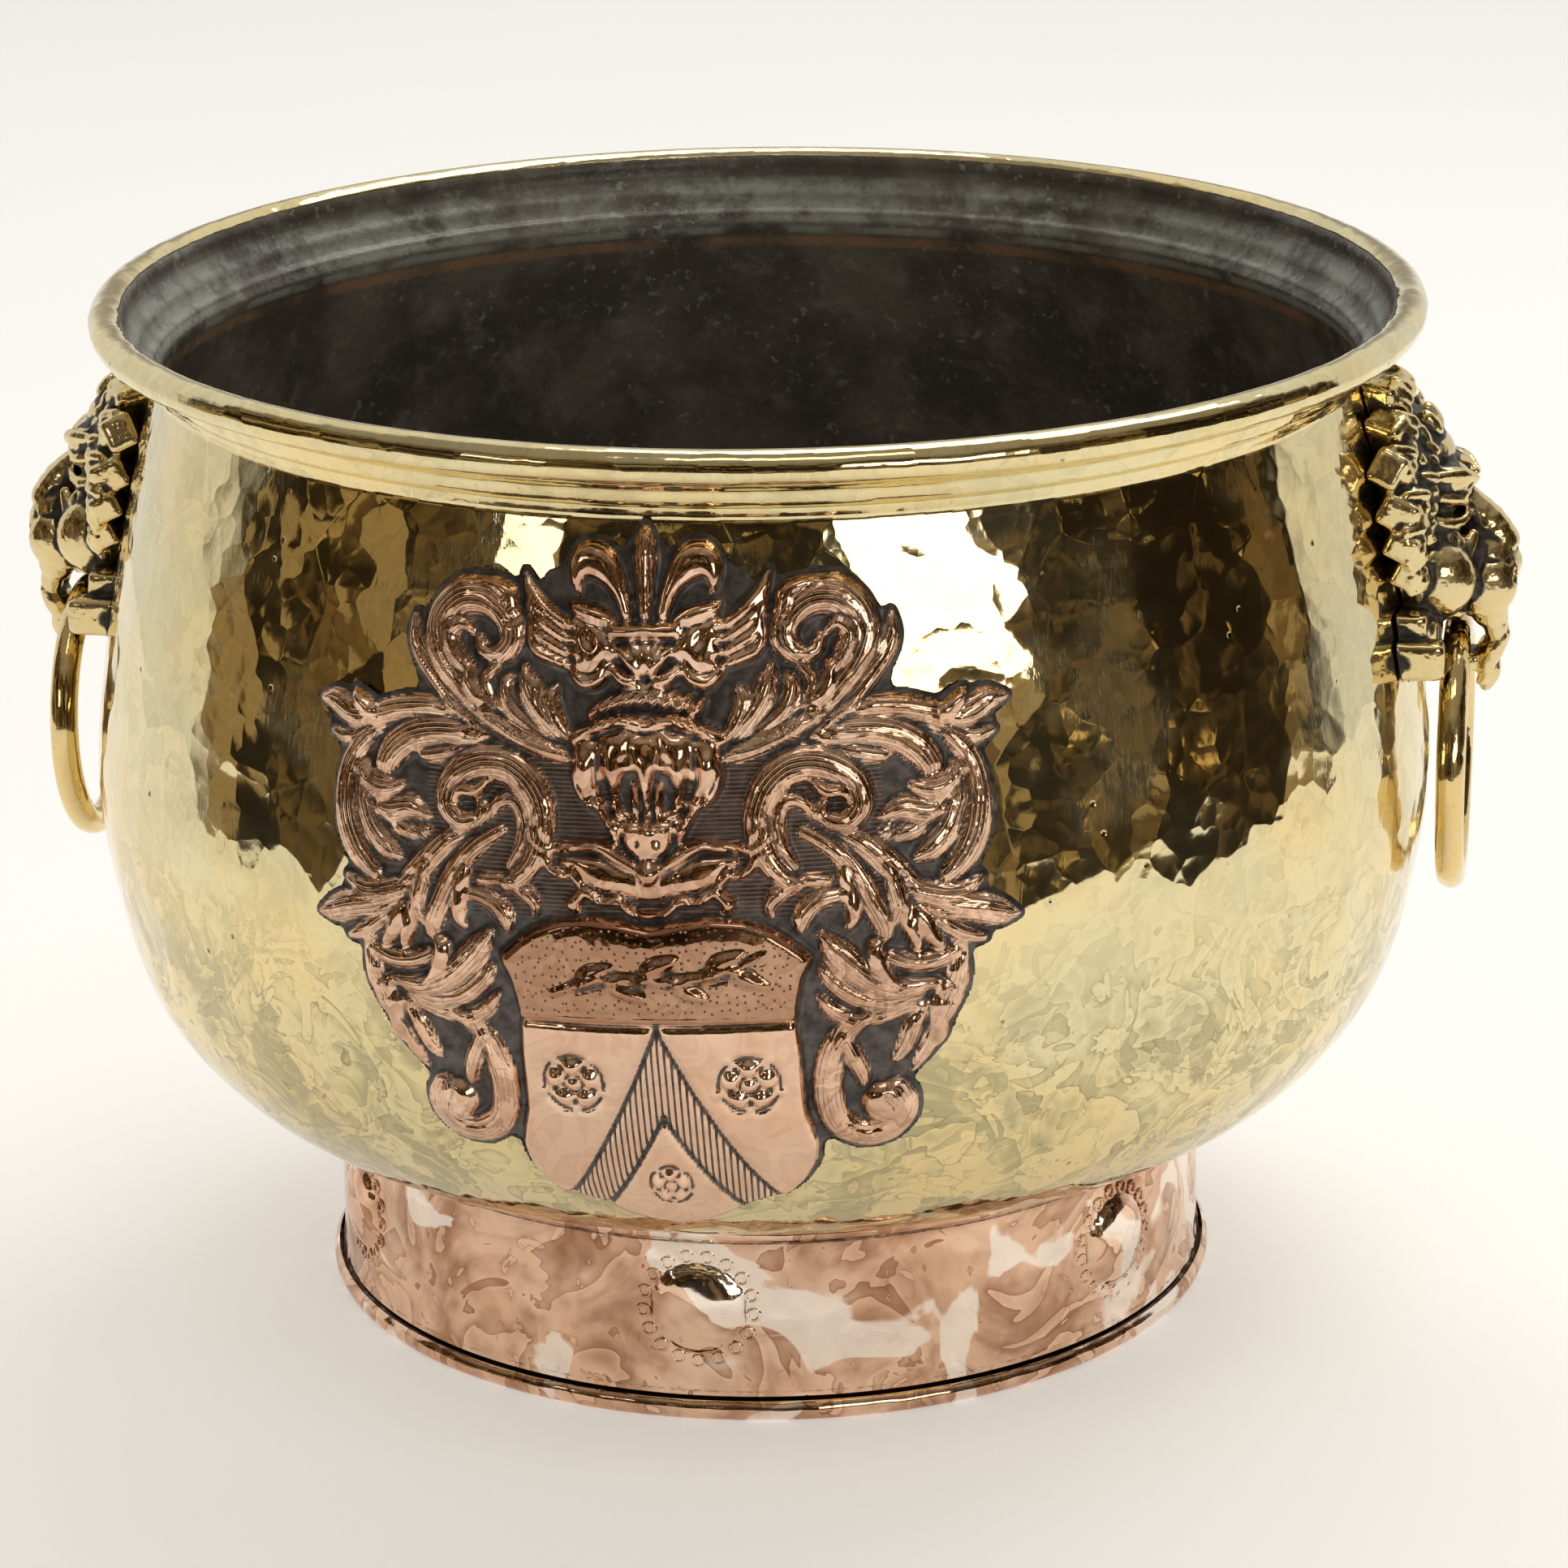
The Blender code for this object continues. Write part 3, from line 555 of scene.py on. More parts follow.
# %% Turn a line into a sheet
def turned_sheet(name, line, steps, thickness):
    """One vertex is pushed along the line, the line is spun about the Z axis, and the sheet thickened."""
    deselect()
    bpy.ops.mesh.primitive_plane_add(size=MM, location=(line[0][0], 0, line[0][1]))
    obj = named(name)
    bpy.ops.object.transform_apply(location=True)
    bpy.ops.object.mode_set(mode="EDIT")
    bpy.ops.mesh.merge(type="CENTER")
    for step in np.diff(line, axis=0):
        bpy.ops.mesh.extrude_region_move(TRANSFORM_OT_translate={"value": (step[0], 0, step[1])})
    bpy.ops.mesh.select_all(action="SELECT")
    bpy.ops.mesh.spin(steps=steps, angle=2 * math.pi, center=(0, 0, 0), axis=(0, 0, 1))
    bpy.ops.mesh.select_all(action="SELECT")
    bpy.ops.mesh.remove_doubles(threshold=0.01 * MM)
    bpy.ops.mesh.normals_make_consistent(inside=False)
    bpy.ops.object.mode_set(mode="OBJECT")
    return finish_with(obj, "SOLIDIFY", thickness=thickness, offset=0, use_even_offset=True)


pot_turns = 380  # steps round the axis; as fine as a piece under 200,000 triangles allows
pot = turned_sheet("planished_pot", pot_line, pot_turns, sheet)
print("pot:", len(pot.data.polygons), "faces", [round(v / MM, 1) for v in pot.dimensions])


# %% [markdown]
# ## Dents of the hammer
# The sheet was never a perfect turned shape. Its slow waves are moved into the mesh itself, always
# inwards, so that the crest and the masks still lie on the wall, and both faces move together.


# %% Slow dents in the pot
def waves_at(place, size, seed):
    return noise.noise(Vector(place) / size + Vector((seed, 0, 0)))


places = points_of(pot)
radius = np.hypot(places[:, 0], places[:, 1])
height = places[:, 2]
turn = np.arctan2(places[:, 0], -places[:, 1])
flat = np.stack([np.sin(turn) * belly_radius, -np.cos(turn) * belly_radius, height], axis=1)
slow = np.array([waves_at(place, 0.045, 3) + 0.5 * waves_at(place, 0.022, 9) for place in flat])
strength = ramp(height, seat_height + 0.002, seat_height + 0.03) * (1 - ramp(height, 0.255, neck_height))
dent_depth = 0.45 * MM
inward = strength * dent_depth * (0.5 + 0.7 * slow)
knock_turn, knock_height, knock_depth = math.radians(-128), 0.252, 1.6 * MM  # one old knock, behind
knock = np.exp(-((turn - knock_turn) / 0.22) ** 2 - ((height - knock_height) / 0.016) ** 2)
inward += knock_depth * knock
rim_dents = ramp(height, neck_height + 0.004, neck_height + 0.01)
beside = 0.35 + 0.65 * np.abs(np.sin(turn)) ** 3
wrinkle = np.array([waves_at(place, 0.009, 21) + 0.6 * waves_at(place, 0.005, 5) for place in flat])
inward += rim_dents * beside * 0.22 * MM * (0.6 + wrinkle)
shrunk = 1 - inward / np.maximum(radius, 1e-6)
places[:, 0] *= shrunk
places[:, 1] *= shrunk
move_points(pot, places)

middle_radius = np.interp(height, wall_middle[:, 1], wall_middle[:, 0])
within = np.where(height < neck_height, radius < middle_radius, radius < bead[0] - 0.35 * bead_radius)
around_bead = np.degrees(np.arctan2(height - bead[1], radius - bead[0]))
on_bead = np.hypot(height - bead[1], radius - bead[0]) < bead_radius * 1.1
cove_side = np.interp(height, cove[:, 1], cove[:, 0])
within = np.where((height >= neck_height) & ~on_bead, radius < cove_side, within)
inside = within.astype(float)
inside[on_bead] = ramp(around_bead[on_bead], 128, 160) * (around_bead[on_bead] > 0)
under = on_bead & (around_bead < -150)
inside[under] = 1
below_floor = height < floor_height + 0.5 * sheet
inside[below_floor & (radius > 1e-6)] = 0.8
mark(pot, "inside", inside)
pot.data.materials.append(brass)
shade(pot, 50)
keep(pot, "pot", "brass_sheet", "pot_body")

# %% [markdown]
# ## Copper of the foot
# Copper is softer than brass, so the foot is wavier: long soft waves and shallow marks, pinker metal
# and a little grime left by the polish in the groove above the rolled edge.

# %% Copper finish
copper, start, where = new_finish("polished_copper")
grime = attribute(where, "grime")
tone = grain(where, 0.04, 3.0).between(0.3, 0.7)
polished = tone.tint((0.84, 0.53, 0.35, 1), (0.87, 0.61, 0.44, 1))
# Pools, soft patches and their crisp banks darken the copper: painted reflections of the room's darker parts.
reflection_pool = pools(where, 0.038, 5.0)
small_reflection_pool = pools(where, 0.016, 3.0)
painted_reflection_shade = reflection_pool * 0.45 + small_reflection_pool * 0.25 + grain(where, 0.03, 3.0).between(0.35, 0.65) * 0.30
painted_reflection_shade = painted_reflection_shade.between(0.15, 0.95)
polished = (painted_reflection_shade * 0.85).tint(polished, (0.34, 0.150, 0.075, 1))
painted_reflection_banks = reflection_pool.between(0.92, 0.99) * 0.5 + small_reflection_pool.between(0.90, 0.99) * 0.4
polished = painted_reflection_banks.tint(polished, (0.30, 0.13, 0.06, 1))
# Near-white patches are painted highlights.
painted_highlight = grain(where, 0.045, 3.0, 0.45, 1.5).between(0.59, 0.62)
polished = (painted_highlight * 0.75).tint(polished, (1.0, 0.90, 0.80, 1))
stain = grain(where, 0.018, 4.0).between(0.58, 0.74) * 0.45
polished = stain.tint(polished, (0.50, 0.27, 0.16, 1))
dirty = (grime + (grain(where, 0.0025) - 0.5) * 0.5).between(0.40, 0.75)
colour = dirty.tint(polished, (0.060, 0.045, 0.038, 1))
height = (
    dishes(where, 0.019, 0.0009) + grain(where, 0.030, 2.0, 0.4) * 0.0042
    + grain(where, 0.002, 3.0) * 0.00001
)
height = height + scratches(where, 0.5) * 0.000008
rough = 0.05 + stain * 0.14 + dirty * 0.4 + grain(where, 0.02) * 0.03
haze = grain(where, 0.03).between(0.50, 0.75) * 0.2 + 0.04
close(mirror(start, colour, rough, height, haze, 0.30, metal=1 - dirty * 0.6))

# %% [markdown]
# ## The foot
# The foot is a copper hoop with a soft collar where the pot sits and an edge rolled over a wire. Its
# bosses were punched from inside. It is turned like the pot, and its bosses are pushed out of it.

# %% Turn the foot
foot_radius = seat_radius + 0.5 * MM
foot_sheet = 1.0 * MM
hem_radius = 3.4 * MM
hem_flare = 3.7 * MM
boss_count = 6
boss_radius = 13.3 * MM
boss_rise = 3.4 * MM
boss_height = 32.7 * MM
half_foot = foot_sheet / 2
band = foot_radius - half_foot
top = seat_height - gap - half_foot
hem_centre = np.array(
    (
        foot_radius + hem_flare - hem_radius,
        (hem_radius - half_foot) * math.cos(math.radians(25)) + half_foot
    )
)
collar_points = ((0, 0), (1.2, -0.9), (1.4, -2.4), (0.4, -3.9), (0, -5.2))
collar = smooth_line([(band + out * MM, top + rise * MM) for out, rise in collar_points], 4)
wall = np.linspace((band, top - 6.2 * MM), (band + 0.3 * MM, hem_centre[1] + 2.4 * hem_radius), 44)
groove_top = (band + 0.6 * MM, hem_centre[1] + 1.7 * hem_radius)
groove_low = (band + 0.9 * MM, hem_centre[1] + 1.15 * hem_radius)
groove = smooth_line([wall[-1], groove_top, groove_low], 3)[1:]
roll = arc(hem_centre, hem_radius - half_foot, 110, 418, 26)
roll[:, 1] = np.maximum(roll[:, 1], half_foot)
foot_line = np.concatenate([collar, wall, groove, roll])[::-1]
foot_turns = 480
foot = turned_sheet("hammered_foot", foot_line, foot_turns, foot_sheet)
places = points_of(foot)
radius = np.hypot(places[:, 0], places[:, 1])
turn = np.arctan2(places[:, 0], -places[:, 1])
height = places[:, 2]
print("foot:", len(foot.data.polygons), "faces")

# %% Push out the bosses
reach = np.zeros(len(places))
halo = np.zeros(len(places))
for index in range(boss_count):
    middle = 2 * math.pi * index / boss_count
    across = (turn - middle + math.pi) % (2 * math.pi) - math.pi
    away = np.hypot(across * foot_radius, height - boss_height) / boss_radius
    reach = np.maximum(reach, np.sqrt(np.clip(1 - away**2, 0, None)) ** 1.15)
    halo = np.maximum(halo, np.exp(-(((away - 1.02) / 0.05) ** 2)))
dimple_turn, dimple_height, dimple_radius = math.radians(-15), 0.041, 2.6 * MM
dimple = np.hypot((turn - dimple_turn) * foot_radius, height - dimple_height) / dimple_radius
waves = np.array([waves_at(place, 0.030, 7) for place in places])
in_band = ramp(height, 0.010, 0.016) * (1 - ramp(height, 0.050, 0.053))
push = (
    boss_rise * reach + in_band * 0.35 * MM * (waves - 0.4) - 0.9 * MM * np.exp(-(dimple**2))
    - 0.25 * MM * halo
)
places[:, :2] *= (1 + push / radius)[:, None]
move_points(foot, places)
groove_level, collar_level = 8.1 * MM, 52.9 * MM
groove_grime = 0.52 * np.exp(-(((height - groove_level) / (0.9 * MM)) ** 2))
groove_grime += 0.7 * np.exp(-(((height - collar_level) / (0.6 * MM)) ** 2))
groove_grime += 0.9 * ramp(height, seat_height - 1.2 * MM, seat_height - 0.2 * MM) + 0.62 * halo
groove_grime = np.where(radius < band, 0.75, groove_grime)
mark(foot, "grime", np.clip(groove_grime, 0, 1))
print("bosses:", boss_count, "highest push", round(push.max() / MM, 2), "mm")

# %% [markdown]
# ## Punched rings round the bosses
# A tube punch was struck seventeen times round each boss. Each strike leaves a raised ring, so one
# small ring is made and copied, and all of them become part of the foot.

# %% Rings of the punch
punch_count = 17
punch_circle = 15.7 * MM
punches = []
for boss in range(boss_count):
    for index in range(punch_count):
        angle = 2 * math.pi * (index + 0.5) / punch_count
        turn = 2 * math.pi * boss / boss_count + punch_circle * math.sin(angle) / foot_radius
        spot = Vector((math.sin(turn), -math.cos(turn), 0)) * (foot_radius - 0.12 * MM)
        spot.z = boss_height + punch_circle * math.cos(angle)
        if not punches:
            bpy.ops.mesh.primitive_torus_add(
                major_segments=14, minor_segments=6, major_radius=1.72 * MM, minor_radius=0.55 * MM
            )
            first = named("punch")
            first.data.materials.append(copper)
            shape = first.data
        copy = first if not punches else bpy.data.objects.new("punch", shape.copy())
        if punches:
            bpy.context.collection.objects.link(copy)
        facing_out = Matrix.Rotation(turn, 4, "Z") @ Matrix.Rotation(math.pi / 2, 4, "X")
        copy.matrix_world = Matrix.Translation(spot) @ facing_out
        punches.append(copy)
foot.data.materials.append(copper)
shade(foot, 50)
for punch in punches:
    punch.data.shade_smooth()
    mark(punch, "grime", np.full(len(punch.data.vertices), 0.15))
foot = join("hammered_foot", [foot] + punches)
settle(foot)
keep(foot, "pot", "copper_foot", "foot_ring")

# %% [markdown]
# ## Ring handles
# Each handle is a plain cast ring, a little worn where it hangs. A ring primitive is enough, turned to
# hang flat beside the belly, with its wire thinned at the top and bent out of true by a hair.

# %% Brass of the rings
ring_brass, start, where = new_finish("ring_brass_polish")
tone = grain(where, 0.012, 3.0).between(0.35, 0.7)
colour = tone.tint((0.80, 0.60, 0.26, 1), (0.78, 0.63, 0.34, 1))
worn = grain(where, 0.006, 4.0).between(0.60, 0.80)
colour = (worn * 0.5).tint(colour, (0.42, 0.29, 0.11, 1))
height = grain(where, 0.010, 2.0) * 0.0005 + grain(where, 0.0022, 2.0) * 0.00003
close(mirror(start, colour, 0.07 + worn * 0.16, height, grain(where, 0.01).between(0.4, 0.7) * 0.35, 0.3))

# %% Rings
ring_radius = 35.85 * MM
ring_wire = 4.15 * MM
for side_name, way in (("right", 1), ("left", -1)):
    deselect()
    bpy.ops.mesh.primitive_torus_add(
        location=(way * hinge.x, 0, hinge.z - ring_radius),
        rotation=(0, math.pi / 2, 0),
        major_segments=160,
        minor_segments=36,
        major_radius=ring_radius,
        minor_radius=ring_wire,
    )
    ring = settle(named("cast_ring_" + side_name))
    places = points_of(ring)
    around = np.arctan2(places[:, 1], places[:, 2] - (hinge.z - ring_radius))
    centre_y = ring_radius * np.sin(around)
    centre_z = hinge.z - ring_radius + ring_radius * np.cos(around)
    centre = np.stack([np.full(len(places), way * hinge.x), centre_y, centre_z], axis=1)
    wear = 1 - 0.06 * np.exp(-((around / 0.35) ** 2)) - 0.012 * (1 + np.sin(3 * around + way))
    places = centre + (places - centre) * wear[:, None]
    move_points(ring, places)
    ring.data.materials.append(ring_brass)
    ring.data.shade_smooth()
    keep(ring, side_name + "_ring", "ring_brass", "ring_handle_" + side_name)

# %% [markdown]
# ## The lion masks
# Each mask was cast from a wax. A wax is built up from lumps and rolled strands, fused, and then cut
# with a tool, and the same steps work here: balls, blocks and strands of balls are joined, one voxel
# remesh fuses them, and grooves are pressed in. The left mask is the right one turned half round.

# %% Wax for the mask
wax = []
first_wax = {}


def lump(x, y, z, size, kind="ball", lean=0, spread=0, roll=0):
    """A ball or block of wax, in millimetres from the hinge, and its twin beyond the nose."""
    if kind not in first_wax:
        deselect()
        if kind == "ball":
            bpy.ops.mesh.primitive_ico_sphere_add(subdivisions=3, radius=MM)
        else:
            bpy.ops.mesh.primitive_cube_add(size=2 * MM)
        first_wax[kind] = named("wax_" + kind)
        if kind == "block":
            finish_with(first_wax[kind], "BEVEL", width=0.36 * MM, segments=3)
    for way in (1, -1) if y else (1,):
        copy = bpy.data.objects.new("wax", first_wax[kind].data.copy())
        bpy.context.collection.objects.link(copy)
        place = Matrix.Translation(hinge + Vector((x, way * y, z)) * MM)
        turned = Matrix.Rotation(math.radians(way * spread), 4, "Z")
        turned = turned @ Matrix.Rotation(math.radians(way * roll), 4, "X")
        turned = turned @ Matrix.Rotation(math.radians(lean), 4, "Y")
        copy.matrix_world = place @ turned @ Matrix.Diagonal((*size, 1))
        wax.append(copy)


def strand(*points):
    """A rolled strand of wax through points of (x, y, z, radius)."""
    line = smooth_line(points, 10)
    last = None
    for x, y, z, radius in line:
        if last is None or math.dist((x, y, z), last) > 0.45 * radius:
            lump(x, y if abs(y) > 0.05 else 0, z, (radius, radius, radius))
            last = (x, y, z)


# %% Head, brow and muzzle
lump(-20, 0, 38, (15.5, 24, 30))
lump(-12, 0, 52, (10, 13, 8))
lump(-5.5, 7.0, 47.6, (8.6, 8.0, 3.6), lean=10, roll=-14)
lump(-4.0, 6.0, 44.6, (7.4, 7.5, 3.0), lean=16, roll=-16)
strand((-15, 17, 47, 2.4), (-7, 14.5, 48.5, 2.6), (0, 9.5, 48.0, 2.4), (3.2, 3.6, 45.6, 1.9))
strand((-16, 17.5, 43, 1.6), (-8, 15.5, 43.0, 1.8), (-2, 12.5, 41.8, 1.7), (1.6, 7, 39.4, 1.3))
lump(-4.6, 9.6, 39.4, (3.6, 3.8, 3.2))
strand((-11, 16, 37.5, 1.6), (-5, 14.5, 35.2, 1.9), (0, 10, 34.6, 1.8), (2.4, 6, 36.2, 1.3))
strand((-3, 0, 43.5, 4.4), (1.5, 0, 38.0, 4.6), (7, 0, 32.0, 5.8), (11, 0, 25.5, 6.4))
lump(3.6, 0, 20.5, (13.4, 11.0, 12.5))
lump(6.0, 5.8, 15.6, (10.6, 7.4, 10.2), lean=14)
lump(13.2, 0, 20.6, (4.4, 6.2, 4.6), lean=10)
strand((12.6, 3.0, 22.4, 2.4), (14.6, 5.6, 19.8, 2.1), (13.8, 6.8, 16.6, 1.7), (11.8, 6.0, 15.6, 1.1))
lump(8.6, 4.8, 8.4, (5.6, 5.4, 6.4), lean=-8)
lump(9.4, 0, 6.4, (4.8, 5.0, 4.8))
lump(10.6, 4.4, 2.6, (3.4, 3.6, 4.6))
lump(-7.5, 15.0, 20.0, (13.0, 9.2, 11.8), lean=24)
lump(-6, 12.5, 29.5, (9, 5.5, 5.5), lean=24)
strand((3.5, 9.2, 30.5, 2.0), (1.6, 12.2, 25, 2.6), (-1.0, 13.8, 18, 2.8), (-2.4, 13.2, 11.5, 2.0))
strand((-5, 15.5, 31.0, 1.8), (-8, 20.6, 26, 2.6), (-10.5, 22.2, 19, 2.8), (-11.5, 20.2, 12.5, 2.0))

# %% Jaw, lugs and the mane
lump(-5, 0, -8.3, (11, 7.4, 2.7), kind="block")
lump(-13, 12.0, 8.0, (5.0, 6.0, 9.0), kind="block")
lump(-4, 10.0, 8.2, (6.0, 3.0, 3.6))
lump(-13.2, 12.0, 0.0, (8.2, 13.0, 9.4), kind="block")
lump(8.4, 0, -5.6, (3.2, 6.6, 4.6), lean=12)
strand((8.4, 0, -7.4, 3.0), (10.6, 0, -3.6, 3.4), (12.4, 0, -0.6, 2.6))
strand((8.4, 4.2, -8.0, 2.8), (10.4, 4.8, -4.0, 3.0), (12.2, 5.0, -0.2, 2.2))
strand((8.6, 0, -8, 3.4), (9.4, 1.4, -12, 3.0), (8.0, 1.2, -16.4, 1.8))
strand((8.0, 4.2, -7, 2.8), (8.2, 4.8, -11.0, 2.3), (6.6, 4.2, -14.0, 1.3))
lump(-11.5, 31.6, 0.2, (9.0, 4.2, 5.5), kind="block")
lump(-14, 25.0, 9.0, (6.2, 6.4, 3.6), kind="block")
for turn, far, high, size in (
    (-16, 30.0, 7.4, 0.85), (-1, 30.5, 8.6, 0.95), (14, 28.5, 10.8, 1.15), (33, 30.2, 9.4, 1.25),
    (53, 28.0, 11.2, 1.15), (74, 30.6, 11.4, 1.05), (24, 20.8, 13.4, 1.1), (4, 22.0, 11.4, 0.95),
    (46, 19.4, 14.4, 1.15), (68, 19.2, 15.0, 1.05),
):
    cos, sin = math.cos(math.radians(turn)), math.sin(math.radians(turn))
    y, z = far * cos, 34 + (far + 5.0) * sin
    root = (wall_radius(hinge.z + z * MM) - hinge.x) / MM
    lean_out, roll = (26 if far > 25 else -20), turn + 16 * math.sin(3.0 * turn)
    lump(
        root + 0.34 * high, y, z, (0.52 * high, 5.6 * size, 4.3 * size), kind="block", roll=roll,
        lean=lean_out
    )
    lump(root + 0.78 * high, 0.95 * y, z - 1.6, (3.6, 5.6 * size, 3.4 * size), roll=roll, lean=lean_out)
    for share, sweep in ((-0.55, -1.0), (0.05, 0.6), (0.60, 1.4)):
        side_y, side_z = -share * 5.2 * sin, share * 5.2 * cos
        strand(
            (root + 0.66 * high, y - 6.0 * cos + side_y, z - 6.0 * sin + side_z, 1.3 * size),
            (root + 1.02 * high, y - 1.0 + side_y, z + sweep + side_z, 1.6 * size),
            (root + 0.50 * high, y + 4.8 * cos + side_y, z + 4.8 * sin + side_z + sweep, 1.2 * size),
        )
lump(-14.5, 0, 60.0, (7.4, 6.2, 4.6), kind="block", lean=24)
strand((-9.5, 0, 56.6, 2.8), (-8.2, 3.4, 59.6, 2.7), (-10.6, 4.8, 63.2, 2.4))
strand((-10.0, 8.6, 56, 2.2), (-11.5, 10.6, 60, 2.3), (-15, 10.8, 63.4, 1.8))
lump(-22.0, 0, 69.4, (6.0, 6.6, 4.6), kind="block")
strand((-19.0, 4.4, 68.4, 2.2), (-16.6, 0, 69.6, 3.3), (-19, -4.4, 68.4, 2.2))
print("wax:", len(wax), "lumps")

# %% Fuse the wax and lay it on the wall
for first in first_wax.values():
    bpy.data.objects.remove(first)
mask = settle(join("cast_lion_right", wax))
finish_with(mask, "REMESH", mode="VOXEL", voxel_size=0.72 * MM)
finish_with(mask, "SMOOTH", factor=0.5, iterations=2)


def normals_of(obj):
    values = np.empty(len(obj.data.vertices) * 3, np.float32)
    obj.data.vertex_normals.foreach_get("vector", values)
    return values.reshape(-1, 3)


def press(*points, wide=0.9, deep=0.9):
    """A groove cut with a tool along a line, on both sides of the nose."""
    places = points_of(mask)
    normals = normals_of(mask)
    line = smooth_line(points, 12) * MM
    from_hinge = places - np.array(hinge)
    from_hinge[:, 1] = np.abs(from_hinge[:, 1])
    away = np.min(np.linalg.norm(from_hinge[:, None] - line[None], axis=2), axis=1) / (wide * MM)
    places -= normals * (deep * MM * np.exp(-(away**2)))[:, None]
    move_points(mask, places)


for level in (0, 2.6):
    press(
        (-15, 17.5, 50 - level), (-6, 15, 50.8 - level), (0, 9.8, 50 - level), (4.4, 3.4, 47.4 - level),
        wide=0.55, deep=0.9
    )
press((8, 9.8, 27.6), (5.6, 12, 21), (3.0, 12.6, 14.5), (2.4, 11.5, 9), wide=0.9, deep=1.5)
press((-1.0, 15.2, 31), (-3.6, 18, 25), (-5, 18.8, 18), (-6.4, 17.6, 11), wide=0.9, deep=1.5)
press((17.6, 0, 17.6), (16.4, 0, 13.5), (14.4, 0, 8.0), (13.0, 0, 4.0), wide=0.65, deep=1.4)
press((15.8, 6.4, 20.0), (16.2, 7.4, 17.6), (14.0, 7.6, 16.0), wide=0.8, deep=1.5)
press((13.8, 7.6, 22.6), (16.0, 4.6, 24.6), (16.8, 0, 25.2), wide=0.55, deep=0.7)
press((10.4, 8.8, 22.6), (6.4, 11.4, 24.6), (1.6, 11.8, 28.0), wide=0.7, deep=0.9)
press((-4.4, 13.4, 38.6), (-1.2, 11.4, 38.0), (0.2, 8.4, 37.6), wide=0.6, deep=0.9)
press((-1.6, 9.6, 39.6), (-1.0, 9.0, 39.6), wide=0.8, deep=0.8)
for fan in (-1, 0, 1):
    press(
        (11.6 - abs(fan), 2.6 * fan + 2.7, -1.2), (9.8, 2.3 * fan + 2.7, -6), (8.6, 2 * fan + 2.5, -11),
        wide=0.5, deep=0.6
    )
places = points_of(mask)
mouth_half, mouth_room = 16, 0.95  # half the mouth's width, and its room round the ring
bow = ring_radius / MM
side_y = np.abs(places[:, 1]) / MM
sag = bow - np.sqrt(np.maximum(bow**2 - np.minimum(side_y, mouth_half) ** 2, 1))
clear = (ring_wire / MM + mouth_room + sag) * MM
from_axis = np.stack([places[:, 0] - hinge.x, places[:, 2] - hinge.z], axis=1)
reach = np.maximum(np.linalg.norm(from_axis, axis=1), 1e-5)
grown = np.where((reach < clear) & (side_y < mouth_half), clear / reach, 1)
places[:, 0] = hinge.x + from_axis[:, 0] * grown
places[:, 2] = np.minimum(hinge.z + from_axis[:, 1] * grown, neck_height + 0.3 * MM)
radius = np.hypot(places[:, 0], places[:, 1])
least = wall_radius(places[:, 2]) + gap + 0.05 * MM
places[:, :2] *= np.maximum(least / radius, 1)[:, None]
move_points(mask, places)

# %% Find the hollows of the mask
ends = np.empty(len(mask.data.edges) * 2, int)
mask.data.edges.foreach_get("vertices", ends)
ends = ends.reshape(-1, 2)
count = np.bincount(ends.ravel(), minlength=len(places))[:, None]


def relaxed(values, times):
    """Each vertex's value averaged with its neighbours', again and again."""
    for _ in range(times):
        total = np.zeros_like(values)
        np.add.at(total, ends[:, 0], values[ends[:, 1]])
        np.add.at(total, ends[:, 1], values[ends[:, 0]])
        values = 0.4 * values + 0.6 * total / count
    return values


normals = normals_of(mask)
near_hollow = np.sum((relaxed(places, 8) - places) * normals, axis=1) / MM
wide_hollow = np.sum((relaxed(places, 110) - places) * normals, axis=1) / MM
by_wall = 1 - ramp(np.hypot(places[:, 0], places[:, 1]) - wall_radius(places[:, 2]), 2.2 * MM, 4.6 * MM)
dirt = np.clip(0.58 + 1.7 * near_hollow + 0.62 * wide_hollow + 0.35 * by_wall, 0, 1)
mark(mask, "grime", relaxed(dirt[:, None], 1)[:, 0])
print("mask:", len(mask.data.polygons), "faces")

# %% Cast brass
cast_brass, start, where = new_finish("cast_brass_with_grime")
grime = attribute(where, "grime")
tone = grain(where, 0.010, 3.0).between(0.3, 0.7)
polished = tone.tint((0.76, 0.59, 0.28, 1), (0.76, 0.63, 0.35, 1))
dirty = (grime + (grain(where, 0.0016, 3.0) - 0.5) * 0.35).between(0.36, 0.60)
dirt = grain(where, 0.0022, 3.0).between(0.35, 0.7).tint((0.024, 0.019, 0.015, 1), (0.075, 0.060, 0.046, 1))
teal = grain(where, 0.006, 3.0).between(0.60, 0.72)
dirt = (teal * 0.5).tint(dirt, (0.11, 0.17, 0.16, 1))
colour = dirty.tint(polished, dirt)
height = grain(where, 0.0045, 2.0) * 0.0004 + grain(where, 0.0011, 3.0) * 0.00004
close(mirror(start, colour, 0.09 + dirty * 0.4, height, tone * 0.25 + 0.1, 0.32, metal=1 - dirty * 0.6))

# %% Both masks
mask.data.materials.append(cast_brass)
mask.data.shade_smooth()
twin = mask.copy()
twin.data = mask.data.copy()
twin.name = "cast_lion_left"
bpy.context.collection.objects.link(twin)
twin.matrix_world = Matrix.Rotation(math.pi, 4, "Z")
settle(twin)
keep(mask, "pot", "cast_brass", "lion_mask_right")
keep(twin, "pot", "cast_brass", "lion_mask_left")


# %% [markdown]
# ## The crest
# The crest is a copper sheet hammered up from behind over pitch and chased from the front: leaves, a
# helm and a shield. Its shape is a height at each place, so it is drawn as one on a fine net: every
# leaf is a smooth line with a width, raised round, ribbed along, and set off by a chased groove. The
# figures on the shield are plain ones: a leaf sprig, a hatched chevron and three rosettes.

